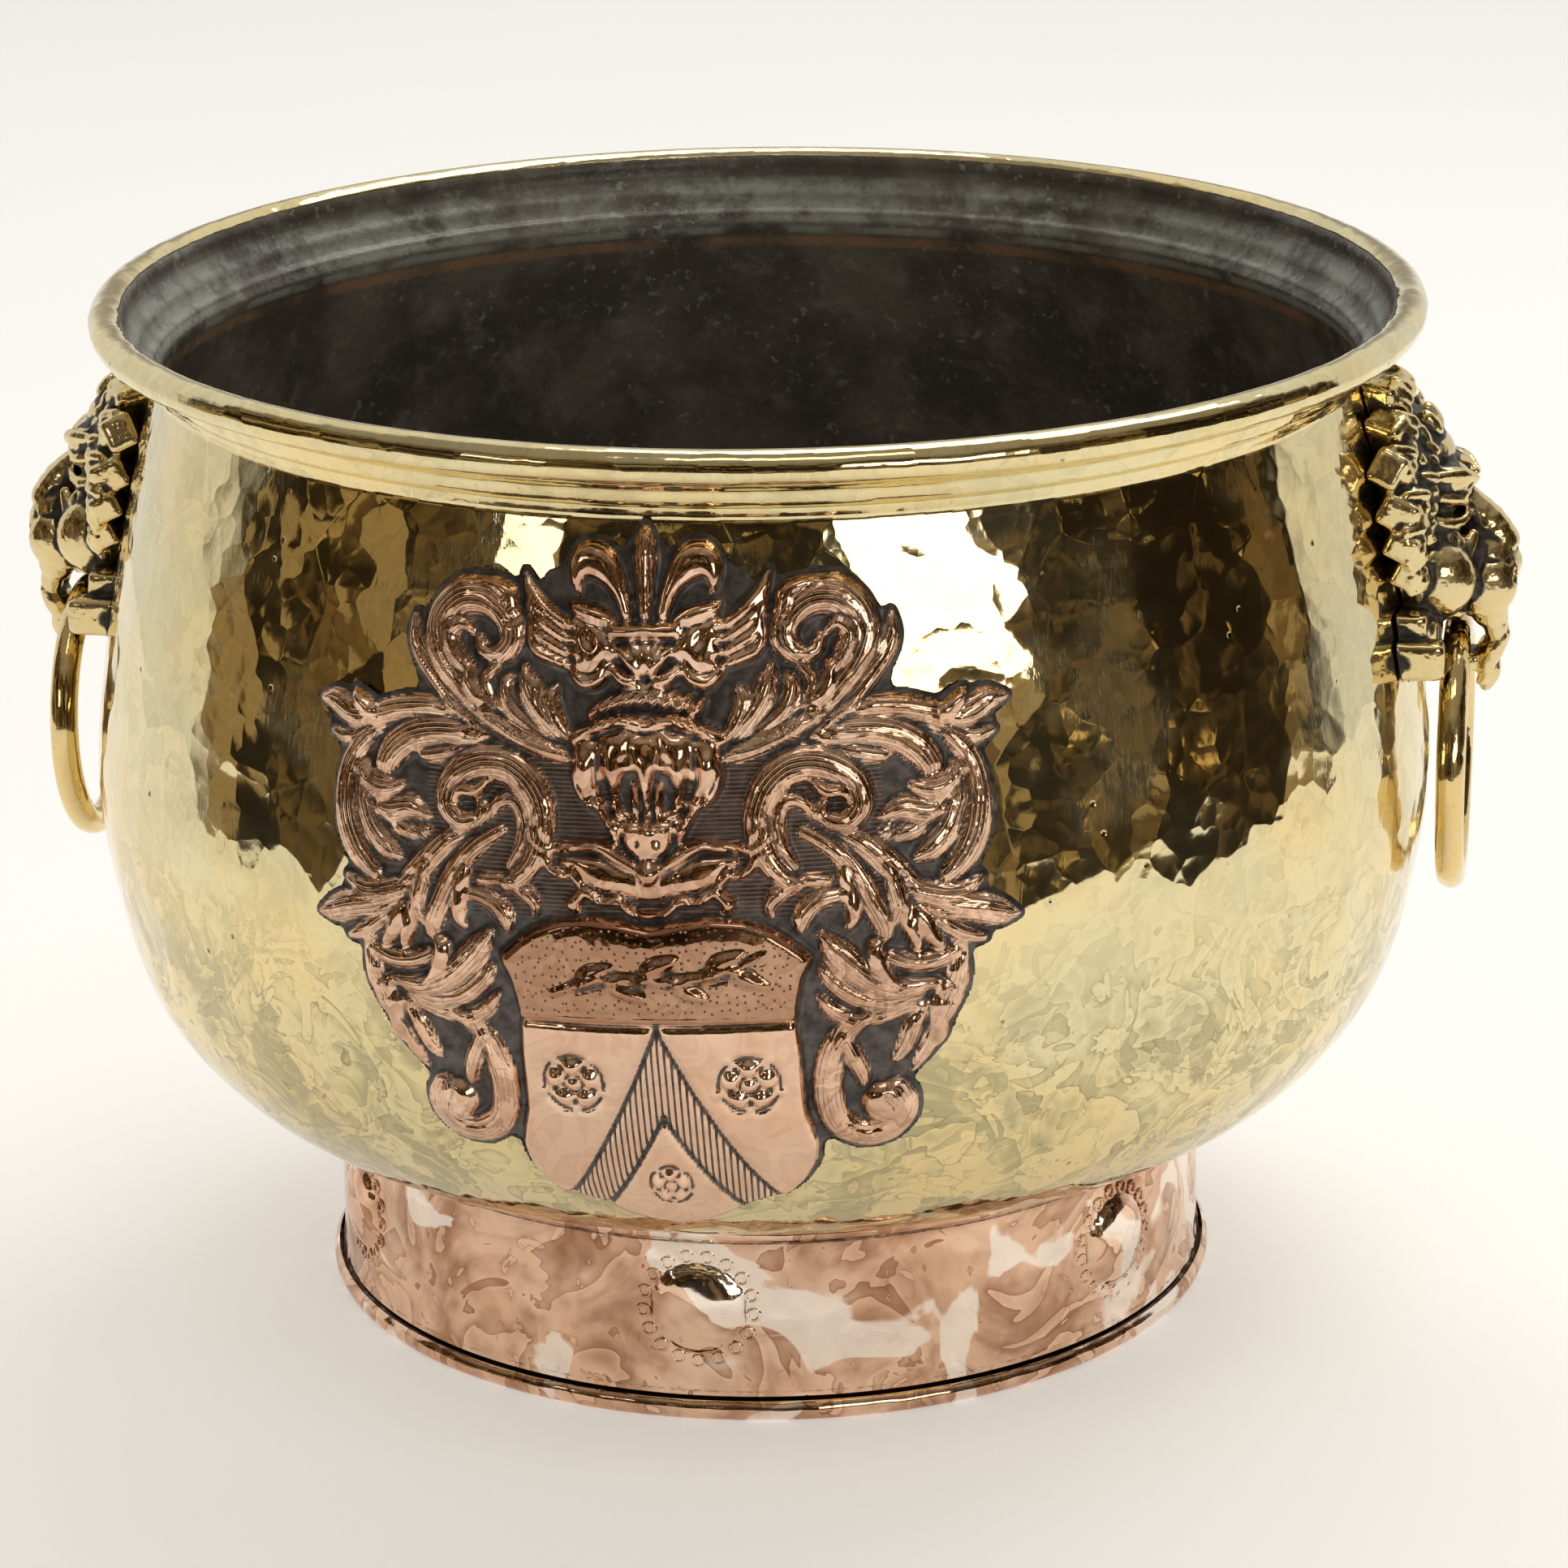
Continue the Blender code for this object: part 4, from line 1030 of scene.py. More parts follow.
# %% The net, in millimetres
net_step = 0.76
net_wide, net_low, net_high = 103.0, 74.5, 276.0
columns = round(2 * net_wide / net_step)
rows = round((net_high - net_low) / net_step)
bpy.ops.mesh.primitive_grid_add(x_subdivisions=columns, y_subdivisions=rows, size=1)
crest = named("chased_crest")
flat = points_of(crest)
across = flat[:, 0].reshape(-1, len(np.unique(flat[:, 0].round(5)))) * 2 * net_wide
up = flat[:, 1].reshape(across.shape) * (net_high - net_low) + (net_high + net_low) / 2
raised = np.zeros(across.shape)
cover = np.full(across.shape, -20.0)
hatched = np.zeros(across.shape)
near = np.ones(across.shape)  # the half-width of the line last looked at
stripe = np.zeros(across.shape)  # how far aside of its leaf's middle each place is
chased = np.zeros(across.shape)  # 1 where a leaf has chased lines
print("net:", across.shape, "step", round(across[0, 1] - across[0, 0], 3))


# %% Places beside a line
def beside(points, margin=2.5):
    """Net places near a line of (across, up, half-width) points: where, share along, share aside, inset."""
    line = smooth_line(points, 6)
    reach = line[:, 2].max() + margin
    lows, highs = line.min(axis=0) - reach, line.max(axis=0) + reach
    spot = (
        slice(*np.searchsorted(up[:, 0], (lows[1], highs[1]))),
        slice(*np.searchsorted(across[0], (lows[0], highs[0]))),
    )
    x, y = across[spot][..., None], up[spot][..., None]
    start, step = line[:-1], np.diff(line, axis=0)
    share = (x - start[:, 0]) * step[:, 0] + (y - start[:, 1]) * step[:, 1]
    share = np.clip(share / np.maximum(step[:, 0] ** 2 + step[:, 1] ** 2, 1e-9), 0, 1)
    over_x, over_y = x - start[:, 0] - share * step[:, 0], y - start[:, 1] - share * step[:, 1]
    width = np.maximum(start[:, 2] + share * step[:, 2], 0.15)
    distance = np.hypot(over_x, over_y)
    best = np.argmin(distance - width, axis=-1)[..., None]
    hand = np.sign(over_x * step[:, 1] - over_y * step[:, 0])
    found = [np.take_along_axis(value, best, -1)[..., 0] for value in (distance, width, share, hand)]
    distance, width, share, hand = found
    near[spot] = width
    return spot, (best[..., 0] + share) / len(start), hand * distance / width, width - distance


def both_sides(points):
    return (points, [(-point[0], *point[1:]) for point in points])


# %% Raise a leaf, a dome or a chased line
def leaf(*points, height=3.0, ribs=0, groove=1.1, sides=2, fuller=1.0):
    """A leaf or a strand raised from the sheet, and its mirror image.

    The points are (across, up, half-width), ribs are the rounds side by side along it, groove is the
    depth of the line chased round it, and fuller widens it all over."""
    points = [(x, y, fuller * half) for x, y, half in points]
    for line in both_sides(points)[:sides]:
        spot, along, aside, inset = beside(line)
        round_top = np.clip(1 - np.abs(aside) ** 2.6, 0, None) ** 0.55
        ribbing = 1 - 0.34 * (0.5 - 0.5 * np.cos(2 * math.pi * ribs * aside)) * np.clip(1.2 - aside**2, 0, 1)
        lift = 0.62 + 0.38 * np.sin(math.pi * np.clip(along * 0.85 + 0.12, 0, 1))
        here = height * round_top * (ribbing if ribs else 1) * lift
        line_in = np.exp(-(((inset + 0.35) / 0.55) ** 2)) * groove
        on_top = (inset > -0.2) & (here > raised[spot] - line_in)
        stripe[spot] = np.where(on_top, aside * near[spot], stripe[spot])
        chased[spot] = np.where(on_top, min(ribs, 1), chased[spot])
        raised[spot] = np.maximum(raised[spot] - line_in, np.where(inset > -0.2, here, -9))
        cover[spot] = np.maximum(cover[spot], inset)


plump = 1.27


def leaves(*rows):
    """Full leaves, as rows of height, ribs and points."""
    for height, ribs, *points in rows:
        leaf(*points, height=height, ribs=ribs, fuller=plump)


def dome(across_at, up_at, wide, tall, height, add=False, power=0.6, sides=2, turn=0.0):
    """A round or oval lump, raised as high as stated, or on top of what is there."""
    for way in (1, -1)[:sides]:
        x, y = across - way * across_at, up - up_at
        lean = way * math.radians(turn)
        x, y = x * math.cos(lean) + y * math.sin(lean), y * math.cos(lean) - x * math.sin(lean)
        away = (x / wide) ** 2 + (y / tall) ** 2
        lump = height * np.clip(1 - away, 0, None) ** power
        within = away < 1
        raised[within] = raised[within] + lump[within] if add else np.maximum(raised[within], lump[within])
        if not add:
            cover[:] = np.maximum(cover, (1 - np.sqrt(away)) * min(wide, tall))


def chase(*points, depth=0.8, sides=2):
    """A groove driven along a line: the half-width is the point's third number."""
    for line in both_sides(points)[:sides]:
        spot, along, aside, inset = beside(line)
        raised[spot] -= depth * np.exp(-(aside**2) * 1.4)


def boss_on(*points, height=0.9, sides=2):
    """A strand laid on top of what is there, with a fine groove round it."""
    for line in both_sides(points)[:sides]:
        spot, along, aside, inset = beside(line)
        raised[spot] += height * np.clip(1 - aside**2, 0, None) ** 0.6
        raised[spot] -= 0.5 * np.exp(-(((inset + 0.55) / 0.45) ** 2))


def inset_of(points):
    """How far inside a closed outline each net place is, in millimetres, and less than 0 outside."""
    points = np.array(points, float)
    distance = np.full(across.shape, 1e9)
    crossings = np.zeros(across.shape, int)
    for start, end in zip(points, np.roll(points, -1, axis=0)):
        step = end - start
        share = ((across - start[0]) * step[0] + (up - start[1]) * step[1]) / max(step @ step, 1e-9)
        share = np.clip(share, 0, 1)
        gap_here = np.hypot(across - start[0] - share * step[0], up - start[1] - share * step[1])
        distance = np.minimum(distance, gap_here)
        spans = (start[1] > up) != (end[1] > up)
        if abs(step[1]) > 1e-9:
            crossings += spans & (across < start[0] + (up - start[1]) * step[0] / step[1])
    return np.where(crossings % 2 == 1, distance, -distance)


# %% The crown: lily, collar, shell and wings
leaf((4.8, 248, 1.6), (6.2, 253.5, 1.9), (8.8, 258.3, 3.0), (12.5, 262.4, 4.7), (16.5, 263.2, 4.7),
     (19.0, 260.3, 2.8), (19.4, 257, 1.4), (18.6, 254.8, 0.3), height=3.4)
leaf((0, 247.5, 1.7), (0, 253, 2.0), (0, 259, 2.7), (0, 264.3, 3.5), (0, 268.5, 2.3), (0, 272, 0.3),
     ribs=1, height=3.6, sides=1)
dome(13.8, 241.0, 6.6, 9.2, 3.9, power=0.35, turn=-14)
leaf((9.0, 247.4, 1.8), (13, 249.4, 2.4), (17.4, 250.6, 2.1), (20.8, 251.8, 0.8), height=4.0)
for level in (250.8, 247.2, 243.6, 240.0, 236.6):
    dome(20.0 - 0.03 * (level - 244) ** 2, level, 1.9, 1.9, 3.6)
leaf((10.4, 238.0, 1.0), (12.6, 233.8, 2.0), (16.8, 232.6, 2.0), (20.2, 235.0, 1.4), height=3.8)
dome(15.4, 243.8, 1.7, 3.4, -1.1, add=True, turn=-28)
leaf((-8.6, 245.7, 2.2), (0, 245.3, 2.4), (8.6, 245.7, 2.2), height=4.8, sides=1, groove=1.4)
chase((-8, 245.6, 0.5), (0, 245.3, 0.5), (8, 245.6, 0.5), depth=0.8, sides=1)
leaf((0, 232.4, 2.2), (5, 233.0, 2.2), (9.0, 236.0, 1.5), height=4.4, groove=1.2)
for tip, level in ((0, 242.4), (3.4, 242.0), (6.4, 240.6)):
    leaf((tip * 0.25, 234.4, 0.9), (tip * 0.7, 238.3, 1.5), (tip, level, 1.8), height=4.8, groove=1.0)
for low, high, tip in (
    (246.5, 253.4, 259.9), (243.2, 249.6, 257.3), (239.9, 245.6, 253.6), (237.0, 241.0, 247.6)
):
    leaf((21.6, low, 1.2), (26.4, 0.6 * low + 0.4 * high, 1.7), (31.2, high, 1.6),
         (35.3 - (259.9 - tip) / 6, tip, 0.3), height=3.2)

print("crown raised to", round(raised.max(), 2), "mm")

# %% The twisted band and the helm
dome(0, 212.5, 19.0, 13.0, 5.6, sides=1, power=0.45)
leaf((0, 209, 13.5), (0, 200, 10.5), (0, 193, 6.8), (0, 185.5, 1.6), height=5.4, sides=1, groove=0.6)
for index in range(-4, 5):
    place = 3.35 * index
    level = 229.2 - 0.020 * place**2
    leaf((place - 1.9, level - 1.7, 1.2), (place, level, 1.9), (place + 1.9, level + 1.7, 1.2), ribs=1,
         height=4.6, sides=1)
leaf((0, 221.6, 1.5), (6, 223.2, 1.6), (12, 221.8, 1.7), (18, 219.3, 1.9), (21.2, 216.6, 0.8), height=5.4)
leaf((18.9, 214, 1.5), (18.8, 208.5, 1.7), (16.4, 203.4, 1.7), (12.2, 200.4, 1.6), (9.6, 196, 1.3),
     (8.0, 191, 0.8),
     height=5.2)
leaf((0, 197.4, 1.0), (4.6, 198.4, 1.2), (9.0, 201.0, 1.1), (13.6, 203.8, 0.8), height=6.2, groove=1.0)
leaf((0, 211, 1.0), (0, 204, 1.1), (0, 197, 1.5), (0, 189, 1.1), height=6.6, sides=1, groove=1.0)
dome(0, 203.6, 15.6, 7.2, -3.4, add=True, power=0.25, sides=1)
for top_at, low_at in ((3.5, 2.8), (9.6, 7.4), (14.6, 11.6)):
    leaf(
        (top_at, 209, 0.8), (0.5 * (top_at + low_at), 203, 0.8), (low_at, 197.6, 0.8), height=5.0,
        groove=0.6
    )
for lobe, low_at in ((0, 202.4), (8.6, 206.2), (16.2, 204.4)):
    leaf((lobe, 215.5, 4.2), (lobe, 210.8, 3.0), (0.96 * lobe, low_at, 1.0), height=6.2, groove=0.5)
for place, level in ((3.2, 192.6), (6.4, 194.0)):
    dome(place, level, 0.8, 3.4, -1.8, add=True, power=0.5, turn=12)
dome(8.4, 217.0, 5.6, 4.4, 1.0, add=True, power=0.9)


# %% The collar under the helm
leaf((0, 182, 6), (8, 182.5, 5.6), (15, 184, 4.8), (22, 186.2, 2.2), height=3.2, groove=0.6)
leaf((2.4, 184.6, 1.4), (8, 188.0, 2.0), (13, 190.8, 1.8), (19, 190.6, 1.6), (26.8, 189.6, 1.5), height=4.6)
leaf((26.8, 189.0, 1.3), (26.6, 185.0, 1.3), (22.4, 182.6, 1.2), height=3.8)
leaf((0, 172.9, 1.4), (4.2, 173.5, 1.4), (7.8, 176.8, 1.4), (12, 176.4, 1.4), (16.6, 179, 1.4),
     (20.8, 184, 1.3),
     height=4.4)
leaf((17.5, 178.5, 1.6), (20.5, 175.5, 2.0), (18.5, 172.8, 1.4), height=3.4)
dome(0, 184, 3.1, 3.1, 6.2, sides=1, power=0.3)
dome(0, 184, 1.9, 1.9, -1.4, add=True, sides=1, power=0.3)
dome(0, 184, 1.3, 1.3, 1.5, add=True, sides=1)

# %% The great leaf on each side, from the outside in
leaf((58, 187, 2), (70, 195, 5), (82, 199, 5), (84, 188, 4), (78, 181, 2),
     ribs=4, fuller=plump, height=1.6, groove=0.3)
leaves(
    (2.8, 1, (60, 219, 1.5), (72, 219.6, 2.0), (82, 216.2, 2.5), (88, 213.6, 2.2), (94.6, 214.6, 0.4)),
    (3.6, 2, (45, 221, 2.0), (57, 223.6, 2.4), (69, 223.2, 2.6), (80, 220.4, 2.5), (87, 220.0, 3.2),
     (93, 222.3, 2.5), (99, 222.6, 0.4)),
    (3.4, 0, (81, 221, 1.8), (84.5, 223.4, 1.6), (87.4, 226.0, 0.3)),
    (3.0, 1, (36, 214.5, 1.2), (48, 214.8, 2.0), (57, 212.8, 2.6), (63.5, 211.6, 1.6), (65.5, 213.4, 0.5)),
    (3.4, 3, (40, 216.5, 1.5), (54, 218.2, 2.6), (65, 217.0, 3.4), (72.5, 212.5, 3.6), (76.0, 206.5, 2.4),
     (73.6, 203.6, 0.5)),
    (2.6, 1, (80, 198, 1.6), (73, 193.4, 2.6), (68, 191.4, 2.2), (64.6, 189.6, 0.3)),
    (3.2, 2, (83, 203, 1.8), (75, 196.6, 3.2), (67, 197.6, 2.6), (60.4, 195.2, 0.3)),
    (3.6, 1, (85, 208, 1.5), (80, 202.6, 3.0), (74, 201.6, 2.4), (69.4, 203.6, 0.4)),
    (3.0, 2, (82, 208, 1.2), (83.4, 201, 2.6), (80.4, 192, 3.2), (75, 186.4, 2.8), (69.6, 183.8, 0.6)),
    (3.6, 3, (81, 215, 1.6), (86.4, 208, 2.6), (88.0, 198, 3.0), (85.6, 188, 3.4), (80.6, 181, 2.8),
     (75.6, 176.8, 0.5)),
)

# %% The upper scroll and the inner leaf
leaves(
    (3.2, 2, (44, 219, 1.5), (54, 226.5, 2.6), (63, 235.5, 3.0), (67.5, 241.5, 2.2), (68.6, 247.4, 0.4)),
    (3.4, 1, (50, 226, 1.5), (57, 233, 2.4), (62.6, 240.5, 2.6), (63.6, 247.0, 0.8)),
    (4.2, 3, (24, 215, 1.8), (34, 218.4, 2.5), (43, 223.6, 3.2), (51, 231.0, 3.6), (57.4, 239.0, 4.0),
     (59.0, 246.6, 4.2), (53.6, 252.4, 4.3), (45.6, 252.8, 4.0), (39.4, 248.4, 3.6), (38.0, 242.6, 3.0),
     (42.0, 238.4, 2.2), (46.6, 239.6, 1.6), (48.0, 242.6, 0.9)),
    (4.6, 1, (48, 233, 1.2), (53.6, 237.6, 2.0), (56.0, 243.0, 2.2), (52.8, 246.0, 1.6),
     (50.0, 243.8, 0.6)),
    (3.4, 0, (38, 250, 1.8), (39.5, 254.2, 1.9), (44, 256.4, 1.2), (49, 257.2, 0.4)),
    (3.6, 1, (42, 236, 1.0), (45.0, 232.5, 1.8), (44.0, 228.0, 1.8), (40.6, 224.8, 1.0)),
    (4.0, 0, (50, 236, 1.0), (49.6, 231.6, 1.7), (46.6, 227.0, 1.6), (43.6, 223.8, 0.8)),
    (3.4, 1, (26, 218, 1.5), (33, 221.6, 2.4), (38.0, 226.4, 2.6), (39.6, 231.6, 1.8), (37.0, 233.4, 0.5)),
    (3.8, 1, (24, 218.5, 1.5), (28.6, 224, 2.4), (32.4, 230, 2.8), (34.2, 236.8, 0.4)),
    (3.4, 1, (22, 219, 1.4), (25.2, 223.8, 2.0), (26.4, 228.2, 2.0), (24.6, 231.6, 0.4)),
    (3.6, 1, (22, 213.6, 1.8), (30, 215.8, 2.2), (38, 219, 2.2), (46, 223.6, 1.6)),
)

# %% The middle scroll and the long leaf under it
leaves(
    (3.4, 3, (46, 195, 1.5), (55, 190, 2.6), (62, 183, 3.2), (68, 176.4, 3.0), (74, 171.6, 2.2)),
    (3.2, 2, (40.6, 193.6, 1.5), (48, 188.6, 2.2), (53.6, 181.6, 2.6), (57.4, 174.0, 2.8),
     (60.6, 167.0, 2.4), (60.0, 162.6, 0.4)),
    (3.2, 1, (66, 177.6, 1.6), (74.6, 174.6, 2.4), (82, 174.0, 2.4), (87.6, 177.2, 0.4)),
    (3.8, 2, (66, 175, 1.6), (76, 171.2, 3.0), (85, 169.2, 3.4), (91, 167.2, 2.8), (97, 165.8, 0.3)),
    (3.2, 1, (66, 173, 1.4), (74, 167.6, 2.4), (80.6, 163.0, 2.5), (87.4, 160.8, 0.4)),
    (3.4, 0, (65, 173, 1.3), (70.4, 167.4, 1.9), (73.6, 161.6, 1.7), (77.0, 159.6, 0.4)),
    (3.2, 0, (64, 172, 1.2), (67.0, 166.6, 1.8), (68.8, 160.6, 1.2), (68.4, 157.4, 0.3)),
    (4.0, 1, (62, 183, 1.2), (63.6, 177.0, 2.2), (64.4, 171.6, 2.2), (62.2, 166.8, 0.6)),
    (3.0, 0, (50.4, 183, 1.2), (51.6, 176.4, 1.9), (52.6, 170.4, 1.5), (50.6, 167.0, 0.3)),
    (3.4, 1, (46, 180.4, 1.6), (39.6, 180.6, 2.0), (34.0, 178.4, 2.2), (30.8, 174.6, 1.2),
     (31.6, 171.4, 0.3)),
    (3.2, 1, (49, 176.4, 1.4), (43.0, 175.2, 2.2), (39.4, 171.4, 2.2), (38.4, 167.0, 0.4)),
    (3.4, 1, (44, 196, 0.8), (41.4, 200.6, 1.7), (36.4, 202.0, 2.2), (33.4, 197.0, 2.4),
     (34.0, 190.4, 2.0), (37.6, 184.4, 1.3)),
    (4.4, 4, (38.6, 179.6, 1.6), (32.6, 184.0, 2.4), (29.4, 190.4, 2.8), (28.8, 197.6, 3.2),
     (31.6, 205.0, 3.7), (38.0, 210.2, 4.0), (46.4, 210.2, 4.1), (53.4, 206.0, 3.8), (55.6, 199.6, 3.2),
     (51.8, 195.4, 2.5), (46.8, 196.4, 2.0), (45.4, 199.8, 1.5), (48.0, 201.6, 0.8)),
    (4.8, 0, (43.6, 206.6, 0.8), (47.0, 203.6, 1.6), (51.2, 203.2, 1.4), (52.8, 200.6, 0.5)),
)
for place, level in ((42.5, 188.4), (46.6, 185.2)):
    chase((place - 5, level + 1.5, 0.5), (place, level - 0.6, 0.5), (place + 5, level - 2.5, 0.5), depth=0.5)

# %% The lower leaves and the end scroll
leaves(
    (3.4, 2, (79.4, 160, 2.2), (78.2, 150, 3.0), (74.6, 141.6, 2.8), (71.4, 134.0, 2.4),
     (66.8, 125.6, 0.4)),
    (3.0, 0, (75, 150, 1.2), (73.4, 142.0, 2.2), (74.4, 135.6, 1.4), (72.6, 132.2, 0.3)),
    (3.4, 1, (70, 146, 1.3), (67.0, 139.0, 2.2), (64.4, 132.6, 1.8), (61.6, 128.8, 0.4)),
    (3.4, 1, (60, 159.6, 1.2), (66, 157.0, 2.2), (73, 156.6, 2.4), (79, 158.8, 0.8)),
    (2.8, 1, (60, 153.4, 1.2), (67, 151.4, 2.0), (73, 150.4, 2.2), (78, 147.4, 1.4)),
    (3.0, 2, (68, 145.6, 1.4), (60, 143.6, 2.2), (52, 142.6, 2.4), (46.4, 145.2, 2.2), (42.2, 150.2, 0.4)),
    (3.2, 2, (70, 148.6, 1.4), (61, 147.0, 2.4), (53, 148.8, 2.8), (46.4, 154.0, 2.4), (43.4, 158.6, 0.4)),
    (3.8, 2, (72, 150.4, 1.4), (63, 150.2, 2.4), (55, 154.2, 3.0), (48.4, 160.4, 3.2), (43.4, 167.2, 0.6)),
    (3.4, 0, (62, 152, 1.2), (58.4, 156.8, 2.0), (57.6, 161.6, 1.8), (60.0, 163.6, 0.4)),
    (3.6, 1, (55.6, 144, 1.4), (49.0, 138.6, 2.8), (45.2, 130.6, 3.2), (44.2, 121.0, 3.2),
     (46.6, 112.6, 3.1), (53.4, 108.4, 3.3), (60.6, 109.6, 3.6), (64.4, 115.0, 3.6), (62.4, 120.4, 3.0)),
    (4.0, 1, (48.4, 138.0, 1.2), (51.4, 131.0, 2.2), (53.6, 125.0, 1.5), (52.6, 122.2, 0.3)),
)
dome(59.2, 117.0, 6.0, 6.0, 4.2, power=0.35)
for turned in (90, 215, 335):
    spot = math.radians(turned)
    dome(59.2 + 1.9 * math.cos(spot), 117.0 + 1.9 * math.sin(spot), 1.6, 1.0, -1.3, add=True, turn=turned)

# %% The shield
shield_half = ((0, 170.5), (7, 172), (16, 173), (24, 172.2), (31, 169.4), (36, 166), (39.6, 162.8),
               (41.8, 160.4), (39.2, 155), (37.9, 150), (37.2, 143.6), (38, 134), (38.3, 124), (38.8, 117),
               (40.8, 110.6),
               (41.8, 105.8), (41, 100), (38, 94.6), (34, 90.8), (31, 89.3), (26, 88.4), (20, 86.2),
               (14, 82.8), (8, 80.3), (0, 79.0))
inset = inset_of(list(shield_half) + [(-x, y) for x, y in shield_half[-2:0:-1]])
field = 3.1 * ramp(inset, -0.2, 2.4) + 0.7 * (1 - (across / 42) ** 2) * ramp(inset, 0, 6)
field += 0.5 * np.exp(-(((inset - 1.6) / 1.1) ** 2))
raised -= 1.2 * np.exp(-(((inset + 0.9) / 0.8) ** 2))
raised = np.where(inset > -0.2, field, raised)
cover = np.maximum(cover, inset)
chase((-37, 143.7, 0.7), (0, 143.5, 0.7), (37, 143.7, 0.7), depth=1.5, sides=1)
boss_on((-36.8, 145.4, 0.7), (0, 145.3, 0.7), (36.8, 145.4, 0.7), height=0.5, sides=1)


def chevron_edge(top, foot_across, foot_up, hollow):
    """One curved side of the chevron, from its point on the middle line to its foot."""
    shares = np.linspace(0, 1, 6)
    return [(foot_across * t, top + (foot_up - top) * (t + hollow * t * (1 - t)), 0.8) for t in shares]


outer = chevron_edge(142.4, 31.0, 89.8, 0.42)
inner = chevron_edge(116.4, 20.4, 87.0, 0.30)
outer_line, inner_line = smooth_line(outer, 6), smooth_line(inner, 6)
outer_up = np.interp(np.abs(across), outer_line[:, 0], outer_line[:, 1])
inner_up = np.interp(np.abs(across), inner_line[:, 0], inner_line[:, 1])
between = (
    (up < outer_up) & ((up > inner_up) | (np.abs(across) > 20.4)) & (np.abs(across) < 31) & (inset > 0.8)
)
hatched[between] = 1
raised[between] -= 0.35
figures = raised.copy()
chase(*outer, depth=1.7)
chase(*inner, depth=1.7)
raised = np.maximum(raised, -0.4)

# %% Rosettes and the sprig on the shield


def rosette(across_at, up_at, size, sides):
    """A five-petalled flower in a beaded ring."""
    round_it = np.linspace(0, 2 * math.pi, 13)
    ring = [(across_at + size * math.sin(a), up_at + size * math.cos(a), 0.55) for a in round_it]
    chase(*ring, depth=1.7, sides=sides)
    inner_ring = [(x + (across_at - x) * 0.68, y + (up_at - y) * 0.68, 0.42) for x, y, _ in ring]
    chase(*inner_ring, depth=1.3, sides=sides)
    for petal in range(5):
        spot = 2 * math.pi * petal / 5
        x, y = across_at + 0.60 * size * math.sin(spot), up_at + 0.60 * size * math.cos(spot)
        dome(x, y, 0.34 * size, 0.27 * size, 1.7, add=True, sides=sides, turn=-math.degrees(spot))
        split = spot + math.pi / 5
        x, y = across_at + 0.66 * size * math.sin(split), up_at + 0.66 * size * math.cos(split)
        dome(x, y, 0.13 * size, 0.17 * size, -1.6, add=True, sides=sides, turn=-math.degrees(split))
        x, y = across_at + 1.02 * size * math.sin(split), up_at + 1.02 * size * math.cos(split)
        dome(x, y, 0.15 * size, 0.15 * size, 1.3, add=True, sides=sides)
    dome(across_at, up_at, 0.2 * size, 0.2 * size, 1.4, add=True, sides=sides)


rosette(23.4, 126.3, 8.2, 2)
rosette(0, 95.8, 6.0, 1)
boss_on(
    (-27, 152.0, 0.6), (-12, 156.8, 1.0), (2, 156.2, 1.1), (16, 157.8, 1.0), (29, 162.6, 0.4), height=1.5,
    sides=1
)
for place, level, way in (
    (-20, 154.4, 1), (-12, 156.8, -1), (-3, 156.6, 1), (5, 156.4, -1), (14, 157.6, 1), (20, 159.4, -1)
):
    boss_on((place, level, 0.6), (place + 3.6, level + 2.9 * way, 2.3),
            (place + 10.0, level + 5.6 * way, 0.3), height=1.6, sides=1)

# %% [markdown]
# ## From the drawing to the wall
# The sheet is cut round the drawing, with a narrow flat margin, and then dressed to the belly: the
# drawing leans a little, and its distances across become turns round the pot.

# %% Cut the edge and find the hollows
cut_lines = np.clip((figures - raised) * (inset > 0.5), 0, 1)
edge_half = ((0, 273.5), (4.5, 269), (8, 266), (13, 268), (21.5, 267), (25, 262), (31, 260), (36, 260),
             (37.5, 254), (42, 256), (51, 258), (61, 256), (68, 249), (71, 243), (72, 236), (70, 229),
             (84, 226), (98, 224.5), (97, 219), (95, 213), (91, 206), (90, 194), (87, 185), (84, 179),
             (90, 175), (97, 166.6), (88, 160), (83, 156), (78, 146), (74, 136), (69, 128), (68, 120),
             (67, 113), (60, 107), (51, 106), (44, 110), (42, 104), (37, 93), (27, 88), (12, 81),
             (0, 78.5))
ground = inset_of(list(edge_half) + [(-x, y) for x, y in edge_half[-2:0:-1]])
ground = np.where(np.abs(across) < 30, ground - 0.5, ground - 3.2)
cut = np.maximum(cover + 1.5, ground)


def soften(net, times):
    for _ in range(times):
        for axis in (0, 1):
            net = 0.5 * net + 0.25 * (np.roll(net, 1, axis) + np.roll(net, -1, axis))
    return net


cut = soften(cut, 2)
raised = soften(raised, 1)
hollow = soften(np.maximum(raised, 0), 10) - raised
wide_hollow = soften(np.maximum(raised, 0), 50) - raised
grime = np.clip(1.25 * hollow - 0.12, 0, 1) + 0.45 * np.clip(wide_hollow - 0.5, 0, 1)
grime = np.maximum(grime, (1 - ramp(raised, 0.15, 1.1)) * (inset < 0))
grime = np.maximum(grime, 0.95 * cut_lines)
grime = np.clip(grime, 0, 1)
lined = (1 - ramp(raised, 0.2, 0.9)) * (np.abs(across) < 62) * ramp(up, 170, 176) * (1 - ramp(up, 214, 219))
stippled = ((inset > 2.5) & (up > 147)).astype(float) * (raised < soften(raised, 6) + 0.25)

print("grimy share of the net:", round(float((grime > 0.5).mean()), 3))

